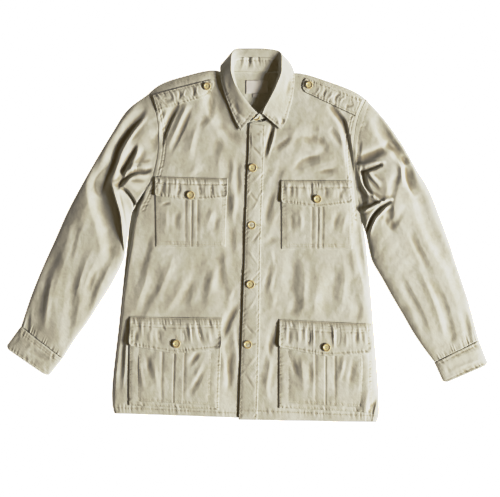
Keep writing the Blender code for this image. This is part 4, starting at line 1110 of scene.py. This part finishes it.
def collarLines():
    # the stand's and the leaf's points across, at every step round the neck
    table = [(index, *row) for index, row in enumerate(collar["sections"])]
    last = len(table) - 1
    keys = np.arange(0, last + collar["step"] / 2, collar["step"])
    values = through(table, keys)
    seam, standTop, roll, edge = (values[:, i : i + 3] for i in range(0, 12, 3))
    start = mix(standTop, np.array(collar["leafStart"]), smooth(keys - last + 1)[:, None])

    def unit(vectors):
        return vectors / np.linalg.norm(vectors, axis=1, keepdims=True)

    rise, fall = unit(start - roll), unit(edge - roll)
    inward, apart = unit(rise + fall), unit(rise - fall)
    before = roll + (inward + apart) * collar["roll"]
    after = roll + (inward - apart) * collar["roll"]
    stand = [seam, mix(seam, standTop, 0.5) + np.array([0, 0, collar["bow"]]), standTop]
    leaf = [start, mix(start, before, 0.5), before, roll, after]
    leaf += [mix(after, edge, share) for share in (0.2, 0.45, 0.7, 0.88, 1)]
    return np.stack(stand, 1), np.stack(leaf, 1)


def acrossCurve(points, count):
    # finer points across, on a curve through the given ones
    marks = np.arange(points.shape[1])
    finer = np.linspace(0, points.shape[1] - 1, count)
    return np.stack([through(np.column_stack([marks, row]), finer) for row in points])


def makeCollar():
    stand, leaf = collarLines()
    last = len(stand) - 1
    back = slice(int(0.3 * last), int(0.72 * last), 4)
    top = mix(stand[back, 1, :2], stand[back, 2, :2], 0.55)
    edge = leaf[2:-2:5, 8, :2]
    firstEnd = mix(leaf[0, 4:9, :2], leaf[8, 4:9, :2], 0.75)
    lastEnd = mix(leaf[-1, 4:9, :2], leaf[-9, 4:9, :2], 0.75)
    sewn["collarStand"] = ((8, 0.5, 8, 16, 0.2, 0, top),)
    sewn["collarLeaf"] = (
        (8.5, 0.5, 8, 10, 0.3, 0, edge), (8, 0.75, 9, 9, 0.3, 0, firstEnd), (8, 0.75, 9, 9, 0.3, 0, lastEnd),
    )
    shown = smooth((np.arange(collar["leafPoints"]) - collar["fixed"]) / 6)[None, :]
    for name, points, node, creases, share in (
        ("collarStand", acrossCurve(stand, collar["standPoints"]), "collar_stand", collar["standCreases"], 1),
        ("collarLeaf", acrossCurve(leaf, collar["leafPoints"]), "collar_leaf", collar["leafCreases"], shown),
    ):
        x, y, z = np.moveaxis(points, -1, 0)
        lift = creaseHeight(x, y, creases) + puckerHeight(x, y, sewn[name]) + sway(x, y * 1.4, 0.6)
        piece = addCloth(name, gridMesh(x, y, z + lift * share), node, 1.3)
        piece.modifiers["cloth"].offset = 0


def placed(place, *pairs):
    # a line's points from how far down and how far across a piece they lie, and a height where it's given
    table = np.array(pairs, float)
    x, y = place(table[:, 0], table[:, 1])
    return tuple(zip(x, y, *table[:, 2:].T))


def frontLine(front, *pairs):
    # a line on a front, with seven steps between two of its points
    table = np.array(pairs, float)
    finer = [np.linspace(a, b, 8)[:-1] for a, b in zip(table, table[1:])] + [table[-1:]]
    return placed(partial(frontPlace, front), *np.concatenate(finer))


# Seams: pitch, height, reach to the left and to the right, slant, distance to a second row, points
def frontSeams(front):
    hem = frontLine(front, (0.66, 0.01), (0.66, 0.99))
    armhole = frontLine(front, (18.6, 0.045), (23, 0.045), (27, 0.045), (31.4, 0.045))
    shoulder = frontLine(front, (31.4, 0.03), (31.4, 0.97))
    return (
        (8.6, 0.65, 13, 13, 0.12, 0, hem),
        (8, 0.8, 9, 9, 0.6, -6 * front["inward"], armhole),
        (9, 0.4, 6, 9, 0.0, 0, shoulder),
    )


def cuffSeams(cuff):
    start, end = (np.array(row[1:5], float).reshape(2, 2) for row in cuff)

    def across(down):
        outer, inner = mix(start, end, down)
        return tuple(mix(outer, inner, 0.03)), tuple(mix(outer, inner, 0.97))

    return (9.5, 0.9, 14, 14, 0.3, -5, across(0.12)), (10.5, 0.7, 11, 11, 0.4, 0, across(0.91))


def downAndUp(front, low, high, margin):
    # down one side of a pocket, along its foot and up the other side
    rows = np.linspace(high, low, 9)
    line = [(row, margin) for row in rows]
    line += [(low, share) for share in np.linspace(margin, 1 - margin, 9)[1:]]
    return placed(partial(pocketPlace, front), *line, *((row, 1 - margin) for row in rows[-2::-1]))


def pocketSeams(front, kind):
    own = pocketForm[kind]
    line = downAndUp(front, own["rows"][0] + 0.2, own["rows"][1], own["side"] + own["seam"])
    twin = 5.5 * front["inward"] if kind == "chest" else 0
    return ((7.5, 0.8, 9, 9, 0.25, twin, line),)


def gussetSeams(front):
    line = downAndUp(front, pocketForm["gussetFoot"] + 0.13, pocketForm["lower"]["rows"][1], 0.02)
    return ((7.5, 0.75, 10, 10, 0.3, 0, line),)


def pleat(front, kind, shares):
    # its middle line, and the inner fold on each side of it
    low, high = pocketForm[kind]["rows"]
    first, middle, last = shares
    rows = np.linspace(high, low, 7)
    lines = (middle, 1.5, 1.5, -1.5), (first, 1.8, 6, -0.7), (last, 6, 1.8, -0.7)
    return tuple(
        (left, right, placed(partial(pocketPlace, front), *((row, share, depth) for row in rows)))
        for share, left, right, depth in lines
    )


def flapSeams(front, kind):
    line = partial(placed, partial(flapPlace, front, kind))
    top = line((0.05, 0.02), (0.05, 0.5), (0.05, 0.98))
    foot = line(*((0.92, share) for share in np.linspace(0.035, 0.965, 11)))
    sides = [line((0.1, share), (0.5, share), (0.92, share)) for share in (0.03, 0.97)]
    return (
        (7.5, 0.95, 13, 13, 0.15, -flapForm[kind]["band"] * front["inward"], top),
        (8.5, 0.75, 9, 9, 0.25, 0, foot),
        *((8.5, 0.6, 7, 7, 0.3, 0, side) for side in sides),
    )


def placketLine(share):
    _, sideY, _, _, beside, edge, edgeY, _ = columnsAt(leftFront["rows"], np.linspace(0.1, 26.9, 40))
    return tuple(zip(mix(beside, edge, share), mix(sideY, edgeY, 0.9)))


def strapSeams(corners):
    line = partial(placed, partial(strapPlace, corners))
    upper = [(along, 0.1) for along in np.linspace(0.02, 0.86, 12)]
    tip = [(0.905, 0.14), (0.94, 0.3), (0.95, 0.5), (0.94, 0.7), (0.905, 0.86)]
    lower = [(along, 0.9) for along in np.linspace(0.86, 0.02, 12)]
    box = (
        ((0.03, 0.14), (0.03, 0.86)), ((0.19, 0.86), (0.19, 0.14)),
        ((0.03, 0.14), (0.19, 0.86)), ((0.03, 0.86), (0.19, 0.14)),
    )
    crossed = [(6, 0.15, 6, 6, 0.2, 0, line(*ends)) for ends in box]
    return ((8, 0.75, 15, 15, 0.3, 0, line(*upper, *tip, *lower)), *crossed)


sides = (("Right", rightFront), ("Left", leftFront))
for side, front in sides:
    sewn["front" + side] = frontSeams(front)
makeFront(rightFront, rightFrontCreases, "front_right")
makeFront(leftFront, leftFrontCreases, "front_left")
print("fronts made")
makeBack("backPanel", "back")
sewn["sleeveRight"] = ((8, 0.25, 6, 6, 0.2, 4, ((-218, 115), (-236, 98), (-249, 83))),)
sewn["sleeveLeft"] = (
    (9, 0.6, 12, 8, 0.4, 0, ((268, 285), (246, 215), (244, 160), (251, 100), (259, 50))),
)
makeSleeve("sleeveRight", rightSleeve, rightFront, rightSleeveCreases + rightUnderarmCreases, "sleeve_right")
makeSleeve("sleeveLeft", leftSleeve, leftFront, leftSleeveCreases, "sleeve_left")

cuffRightCreases = (
    (6, 8, ((-424, -285, 0), (-448, -270, -2.4), (-474, -256, -2), (-492, -240, 0))),
    (5, 7, ((-446, -305, 0), (-462, -292, 2), (-484, -280, 2), (-504, -262, 0))),
    (5, 6, ((-500, -212, 0), (-506, -228, -2), (-518, -240, 0))),
    (4, 6, ((-436, -280, 0), (-440, -292, -1.8), (-436, -304, 0))),
    (5, 6, ((-470, -238, 0), (-480, -250, 1.6), (-494, -262, 0))),
)
cuffLeftCreases = (
    (6, 5, ((514, -240, 0), (500, -247, -3), (478, -255, -3), (452, -266, -2), (444, -272, 0))),
    (5, 7, ((420, -278, 0), (444, -262, 2), (470, -243, 2.2), (494, -226, 0))),
    (5, 6, ((524, -268, 0), (500, -279, 2), (474, -288, 1.6), (452, -300, 0))),
    (5, 7, ((528, -280, 0), (506, -290, -2.2), (482, -298, -2), (456, -310, 0))),
    (4, 5, ((436, -286, 0), (444, -296, -1.8), (446, -310, 0))),
)
for side, sleeve, creases in (
    ("Right", rightSleeve, cuffRightCreases),
    ("Left", leftSleeve, cuffLeftCreases),
):
    sewn["cuff" + side] = cuffSeams(sleeve["cuff"])
    makeCuff("cuff" + side, sleeve["cuff"], creases, "cuff_" + side.lower())
print("sleeves made")

chestPocketCreases = {
    "Right": (
        (4, 5, ((-190, 64, 0), (-178, 69, -1.6), (-166, 71, 0))),
        (8, 9, ((-178, 60, 0), (-176, 35, 1.4), (-180, 5, 0))),
        (7, 9, ((-150, 55, 0), (-155, 30, -1.4), (-152, 0, 0))),
        (8, 9, ((-70, 62, 0), (-80, 38, 1.5), (-92, 8, 0))),
        (6, 8, ((-58, 50, 0), (-66, 25, -1.6), (-72, -5, 0))),
    ),
    "Left": (
        (7, 9, ((95, 55, 0), (100, 30, -1.5), (98, 0, 0))),
        (8, 9, ((115, 60, 0), (120, 30, 1.4), (116, 0, 0))),
        (7, 9, ((205, 60, 0), (196, 30, -1.6), (190, 0, 0))),
        (6, 8, ((222, 55, 0), (214, 25, 1.4), (210, -5, 0))),
    ),
}
lowerPocketCreases = {
    "Right": (
        (7, 9, ((-240, -259, 0), (-234, -290, 1.8), (-229, -320, 1.8), (-226, -343, 0))),
        (7, 7, ((-219, -262, 0), (-216, -285, -1.8), (-213, -318, 0))),
        (7, 8, ((-204, -265, 0), (-200, -305, 1.5), (-195, -347, 0))),
        (6, 9, ((-101, -252, 0), (-113, -270, -2), (-129, -290, 0))),
        (8, 8, ((-92, -268, 0), (-106, -300, 1.6), (-125, -336, 0))),
        (7, 10, ((-96, -296, 0), (-110, -325, -2.2), (-129, -358, 0))),
    ),
    "Left": (
        (7, 9, ((96, -262, 0), (104, -290, -2), (112, -320, 0))),
        (7, 8, ((118, -258, 0), (122, -300, 1.6), (126, -350, 0))),
        (7, 9, ((138, -270, 0), (140, -310, -1.6), (136, -352, 0))),
        (7, 9, ((216, -255, 0), (210, -290, 1.8), (200, -335, 0))),
        (8, 8, ((236, -262, 0), (232, -300, -1.8), (222, -350, 0))),
        (6, 8, ((254, -260, 0), (250, -300, 1.6), (246, -345, 0))),
    ),
}
chestFlapCreases = {
    "Right": (
        (7, 7, ((-188, 118, 0), (-186, 100, -1.6), (-189, 84, 0))),
        (9, 9, ((-168, 118, 0), (-166, 95, 1.4), (-167, 80, 0))),
        (5, 8, ((-150, 120, 0), (-148, 100, -2.2), (-156, 80, 0))),
        (6, 6, ((-104, 116, 0), (-103, 98, -1.8), (-101, 82, 0))),
        (6, 6, ((-92, 116, 0), (-91, 96, 1.3), (-88, 82, 0))),
        (7, 7, ((-80, 116, 0), (-78, 98, -1.7), (-76, 84, 0))),
        (6, 6, ((-58, 116, 0), (-56, 96, -1.5), (-54, 84, 0))),
    ),
    "Left": (
        (6, 7, ((96, 114, 0), (98, 96, -1.6), (95, 80, 0))),
        (7, 7, ((112, 114, 0), (114, 94, 1.3), (112, 76, 0))),
        (5, 8, ((139, 116, 0), (141, 98, -2.4), (144, 78, 0))),
        (6, 6, ((172, 112, 0), (174, 95, -1.5), (172, 78, 0))),
        (7, 7, ((188, 112, 0), (190, 92, 1.4), (190, 76, 0))),
        (6, 7, ((206, 112, 0), (208, 94, -1.8), (204, 78, 0))),
    ),
}
lowerFlapCreases = {
    "Right": (
        (7, 7, ((-241, -204, 0), (-243, -222, -1.8), (-243, -241, 0))),
        (8, 8, ((-213, -204, 0), (-212, -224, 1.5), (-210, -243, 0))),
        (7, 8, ((-195, -200, 0), (-193, -220, -1.7), (-191, -241, 0))),
        (4, 5, ((-186, -193, 0), (-182, -203, -1.8), (-178, -213, 0))),
        (7, 7, ((-141, -200, 0), (-139, -220, -1.5), (-136, -241, 0))),
        (3, 8, ((-125, -195, 1), (-123, -212, 3), (-121, -240, 0))),
        (7, 8, ((-105, -204, 0), (-101, -222, -1.8), (-96, -241, 0))),
        (7, 7, ((-85, -204, 0), (-82, -222, 1.4), (-80, -238, 0))),
    ),
    "Left": (
        (7, 7, ((92, -206, 0), (94, -225, -1.7), (92, -242, 0))),
        (8, 8, ((112, -204, 0), (114, -226, 1.5), (112, -246, 0))),
        (4, 9, ((134, -196, 0), (137, -222, -3), (136, -246, 0))),
        (4, 4, ((146, -194, 1), (147, -222, 2.6), (146, -250, 0))),
        (7, 7, ((158, -200, 0), (160, -216, 1.3), (162, -232, 0))),
        (3, 4, ((190, -194, 1), (191, -222, 3), (192, -250, 0))),
        (9, 3, ((198, -196, 0), (199, -222, -3), (198, -248, 0))),
        (7, 7, ((216, -204, 0), (219, -228, 1.6), (218, -248, 0))),
        (6, 8, ((238, -206, 0), (240, -226, -1.8), (240, -246, 0))),
        (6, 6, ((258, -208, 0), (260, -228, 1.4), (262, -244, 0))),
    ),
}
# The image's lower right pocket corner, lifted by its bar tack
cornerCreases = {
    "Right": (),
    "Left": (
        (15, 22, ((274, -322, 0), (267, -346, 2), (262, -366, 3.8), (261, -384, 4.2), (264, -400, 2.4),
                 (268, -414, 0))),
    ),
}
# Shares of a pocket's width at which its pleat's lines run
pleatShares = {
    "chestRight": (0.438, 0.518, 0.592),
    "chestLeft": (0.412, 0.489, 0.572),
    "lowerRight": (0.376, 0.498, 0.605),
    "lowerLeft": (0.386, 0.495, 0.61),
}


def makePocketPieces(side, front):
    node = side.lower()
    corner = cornerCreases[side]
    for kind, creases in (("chest", chestPocketCreases[side]), ("lower", lowerPocketCreases[side] + corner)):
        if kind == "lower":
            sewn["gusset" + side] = gussetSeams(front)
            makeGusset("gusset" + side, front, corner, "gusset_lower_" + node)
        name = kind + "Pocket" + side
        sewn[name] = pocketSeams(front, kind)
        folded = pleat(front, kind, pleatShares[kind + side])
        makePocket(name, front, kind, folded + creases, f"pocket_{kind}_{node}")
    for kind, creases in (("chest", chestFlapCreases[side]), ("lower", lowerFlapCreases[side])):
        name = kind + "Flap" + side
        sewn[name] = flapSeams(front, kind)
        makeFlap(name, front, kind, creases, f"flap_{kind}_{node}")


for side, front in sides:
    makePocketPieces(side, front)
tack = ((258, -357), (249, -385), (268, -385), (258, -357))
makeStitches("cornerTack", "gussetLeft", [softLine(ends, 5.0)[:, :2] for ends in zip(tack, tack[1:])])
print("pockets made")

sewn["placketStrip"] = tuple((8.5, 0.8, 9, 9, 0.8, 0, placketLine(share)) for share in (0.1, 0.9))
placketCreases = (
    (4, 5, ((38, 232, 0), (26, 222, -1.4), (12, 214, 0))),
    (5, 5, ((36, 214, 0), (24, 200, 1.6), (10, 192, 0))),
    (4, 5, ((8, 206, 0), (18, 190, -1.6), (30, 176, -1.2), (34, 160, 0))),
    (4, 5, ((32, 140, 0), (22, 124, 1.5), (8, 112, 0))),
    (4, 5, ((4, 100, 0), (14, 84, -1.5), (28, 70, 0))),
    (4, 5, ((32, 92, 0), (20, 66, 1.5), (8, 50, 0))),
    (4, 5, ((30, 12, 0), (20, -6, -1.6), (6, -22, 0))),
    (4, 5, ((2, -30, 0), (14, -48, 1.5), (28, -70, 0))),
    (4, 5, ((28, -84, 0), (16, -96, -1.5), (4, -112, -1), (-4, -130, 0))),
    (4, 5, ((24, -130, 0), (12, -152, 1.5), (0, -168, 0))),
    (4, 5, ((-6, -190, 0), (6, -206, -1.6), (20, -222, 0))),
    (4, 5, ((22, -262, 0), (8, -282, 1.5), (-6, -300, 0))),
    (4, 5, ((-8, -300, 0), (6, -320, -1.5), (18, -344, 0))),
)
makePlacket("placketStrip", placketCreases, "placket")

strapCreases = {
    "right": (
        (4, 5, ((-166, 318, 0), (-160, 304, 2), (-158, 292, 0))),
        (4, 5, ((-150, 322, 0), (-146, 308, -2.2), (-150, 296, 0))),
        (3, 5, ((-134, 322, 0), (-138, 308, 2.2), (-132, 298, 0))),
        (4, 5, ((-120, 330, 0), (-116, 314, -2), (-120, 302, 0))),
        (4, 4, ((-108, 330, 0), (-110, 316, 1.8), (-104, 304, 0))),
        (6, 8, ((-190, 300, 0), (-174, 296, -1.6), (-162, 300, 0))),
    ),
    "left": (
        (4, 5, ((218, 304, 0), (208, 298, 2), (204, 288, 0))),
        (4, 5, ((206, 312, 0), (196, 304, -2.2), (194, 292, 0))),
        (3, 5, ((190, 316, 0), (186, 306, 2.2), (178, 298, 0))),
        (4, 5, ((176, 324, 0), (170, 312, -2), (168, 302, 0))),
        (4, 4, ((160, 330, 0), (158, 318, 1.8), (150, 308, 0))),
        (6, 8, ((236, 290, 0), (222, 284, -1.6), (212, 290, 0))),
    ),
}
for side, _ in sides:
    name, node = "strap" + side, side.lower()
    sewn[name] = strapSeams(straps[side])
    under = ["front" + side, "sleeve" + side]
    makeStrap(name, straps[side], under, strapCreases[node], "epaulette_" + node)
makeCollar()
print("straps and collar made")


def makeLabel(name, node, puff):
    low, high = (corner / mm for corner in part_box(node))
    x, y = np.meshgrid(np.linspace(low.x, high.x, 30), np.linspace(low.y, high.y, 20))
    u = (x - low.x) / (high.x - low.x)
    v = (y - low.y) / (high.y - low.y)
    z = high.z - 0.3 + puff * arch(u, 1, 0.01) * arch(v, 1, 0.01)
    return addPiece(name, gridMesh(x, y, z + rumple(x, y, 0.15)), tape, [node], thickness=0.5)


labelPiece = makeLabel("neckLabel", "neck_label", 1.2)
tabPiece = makeLabel("sizeTab", "size_tab", 0.4)

stitchPieces = {name: makeStitches(name + "Stitches", name, seamLines(seams)) for name, seams in sewn.items()}
print("stitches made", sum(len(piece.data.polygons) for piece in stitchPieces.values()), "faces")

# Radius and height of the turned profile, and sizes as shares of the button's radius
button = {
    "profile": (
        (0, 0), (0.86, 0), (1, 0.28), (1, 0.62), (0.94, 0.9), (0.86, 1), (0.77, 0.95), (0.66, 0.66),
        (0.5, 0.56), (0, 0.54),
    ),
    "height": 2.9,  # mm
    "steps": 40,
    "hole": 0.1,
    "spread": 0.24,
    "thread": (0.3, 0.07, 0.06),
    "underCollar": 5.5,  # mm; the collar's ends lie half over their button
    "sharp": 40,
}
buttonholes = {"length": 21.0, "stitches": 15, "stitch": 2.2, "beside": 1.2, "start": 0.15}


def makeButton():
    # a turned disc with a raised rim and four holes, 1 mm in radius, to be scaled
    bm = bmesh.new()
    verts = [bm.verts.new((r, 0, h)) for r, h in button["profile"]]
    edges = [bm.edges.new(pair) for pair in zip(verts, verts[1:])]
    bmesh.ops.spin(
        bm, geom=verts + edges, cent=(0, 0, 0), axis=(0, 0, 1), angle=2 * math.pi,
        steps=button["steps"], use_merge=True,
    )
    bmesh.ops.remove_doubles(bm, verts=bm.verts, dist=1e-5)
    bmesh.ops.recalc_face_normals(bm, faces=bm.faces)
    drill = bmesh.new()
    for corner in range(4):
        turn = math.radians(45 + 90 * corner)
        spot = Matrix.Translation((button["spread"] * math.cos(turn), button["spread"] * math.sin(turn), 0.5))
        bmesh.ops.create_cone(
            drill, cap_ends=True, segments=12, radius1=button["hole"], radius2=button["hole"], depth=2,
            matrix=spot,
        )
    objects = []
    for name, source in (("buttonBlank", bm), ("buttonDrill", drill)):
        mesh = bpy.data.meshes.new(name)
        source.to_mesh(mesh)
        source.free()
        objects.append(addObject(name, mesh))
    blank, cutter = objects
    cut = blank.modifiers.new("holes", "BOOLEAN")
    cut.operation = "DIFFERENCE"
    cut.solver = "EXACT"
    cut.object = cutter
    graph = bpy.context.evaluated_depsgraph_get()
    drilled = bpy.data.meshes.new_from_object(blank.evaluated_get(graph))
    bpy.data.objects.remove(blank)
    bpy.data.objects.remove(cutter)
    return drilled


def makeButtons():
    drilled = makeButton()
    threads = bmesh.new()
    for index, node in enumerate(sorted(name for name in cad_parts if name.startswith("button"))):
        low, high = (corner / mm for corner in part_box(node))
        radius = (high.x - low.x) / 2
        under = button["underCollar"] if node == "button_collar" else 0
        middle = Vector(((low.x + high.x) / 2, (low.y + high.y) / 2, low.z - under)) * mm
        turned = Matrix.Rotation(0.35 * math.sin(3 * index), 4, "Z")
        sized = Matrix.Diagonal((radius * mm, radius * mm, button["height"] * mm, 1))
        bm = bmesh.new()
        bm.from_mesh(drilled)
        rim = bm.verts.layers.float.new("rim")
        for vert in bm.verts:
            away = math.hypot(vert.co.x, vert.co.y)
            # painted shade round the rim's edges, in the holes and on the underside
            vert[rim] = 0.85 if 0.7 < away < 0.8 or away > 0.97 or vert.co.z < 0.45 else 0.0
        bmesh.ops.transform(bm, matrix=Matrix.Translation(middle) @ turned @ sized, verts=bm.verts)
        name = node.replace("button_", "disc_")
        addPiece(name, bm, corozo, [node], angle=button["sharp"])
        flat = Matrix.Diagonal((*(share * radius * mm for share in button["thread"]), 1))
        for side in (-1, 1):
            spot = Matrix.Translation(middle + Vector((0, 0, 0.6 * button["height"] * mm))) @ turned
            spot = spot @ Matrix.Translation((0, side * 0.71 * button["spread"] * radius * mm, 0))
            bmesh.ops.create_icosphere(threads, subdivisions=2, radius=1, matrix=spot @ flat)
    addPiece("buttonThreads", threads, thread)


makeButtons()
print("buttons made")


def makeButtonhole(node, hostName, run):
    # short stitches across a slit that starts at the button and follows run
    low, high = (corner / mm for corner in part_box(node))
    start = np.array(((low + high) / 2)[:2])
    along = np.array(run, float)
    side = np.array([-along[1], along[0]])
    lines = []
    for share in np.arange(buttonholes["stitches"]) / (buttonholes["stitches"] - 1):
        middle = start + along * (share - buttonholes["start"]) * buttonholes["length"]
        for sign in (-1, 1):
            spot = middle + sign * side * buttonholes["beside"]
            reach = side * buttonholes["stitch"] / 2
            lines.append(np.array([spot - reach, spot + reach]))
    makeStitches(node.replace("button_", "hole_"), hostName, lines)


for number in range(1, 5):
    makeButtonhole(f"button_front_{number}", "placketStrip", (1, 0.02))
for kind in ("chest", "lower"):
    for side in ("Right", "Left"):
        makeButtonhole(f"button_{kind}_{side.lower()}", kind + "Flap" + side, (0.02, 1))
print("buttonholes made")

floor = bpy.data.meshes.new("floor")
bm = bmesh.new()
bmesh.ops.create_grid(bm, x_segments=1, y_segments=1, size=60)
bm.to_mesh(floor)
bm.free()
# White paper: matt, with light of its own so that the ground comes out as white as the photo's
paper, tree = startMaterial("white_paper")
finishMaterial(tree, {
    "Base Color": (0.4, 0.4, 0.4, 1), "Roughness": 1.0, "Specular IOR Level": 0.0,
    "Emission Color": (1.0, 0.97, 0.94, 1), "Emission Strength": 1.42,
})
floor.materials.append(paper)
addObject("floor", floor)

light = {
    "power": 960.0, "colour": (0.955, 0.97, 1.0), "size": 1.8, "distance": 8.0,
    "azimuth": -12.0, "elevation": 34.0, "ambient": (0.12, 0.086, 0.038),
}
window = bpy.data.lights.new("window", "AREA")
window.energy = light["power"]
window.color = light["colour"]
window.size = light["size"]
turn = Matrix.Rotation(math.radians(light["azimuth"]), 4, "Z")
turn = turn @ Matrix.Rotation(math.radians(90 - light["elevation"]), 4, "Y")
addObject("window", window).matrix_world = turn @ Matrix.Translation((0, 0, light["distance"]))
world = bpy.data.worlds.new("room")
world.use_nodes = True
background = world.node_tree.nodes["Background"]
background.inputs["Color"].default_value = (*light["ambient"], 1)
background.inputs["Strength"].default_value = 1.0
bpy.context.scene.world = world

# How the photo's camera answers to light, from dim to bright: highlights are held back, shadows kept deep
response = (
    (0.0, 0.0), (0.1, 0.07), (0.25, 0.163), (0.4, 0.33), (0.54, 0.53), (0.75, 0.725), (1.0, 0.81),
    (1.2, 0.87), (1.3, 1.0),
)
brightest = 1.6
view = bpy.context.scene.view_settings
view.view_transform = "Standard"
view.use_curve_mapping = True
view.curve_mapping.white_level = (brightest, brightest, brightest)
curve = view.curve_mapping.curves[3]  # the one for all three colours
for seen, shown in response[1:]:
    curve.points.new(seen / brightest, shown)
for point in curve.points:
    point.handle_type = "AUTO_CLAMPED"
view.curve_mapping.extend = "HORIZONTAL"
view.curve_mapping.update()

camera = bpy.data.cameras.new("camera")
camera.lens = 85
camera.sensor_width = 36
cameraObject = addObject("camera", camera)
cameraObject.location = (0.0072, -0.0292, 2.607)
bpy.context.scene.camera = cameraObject
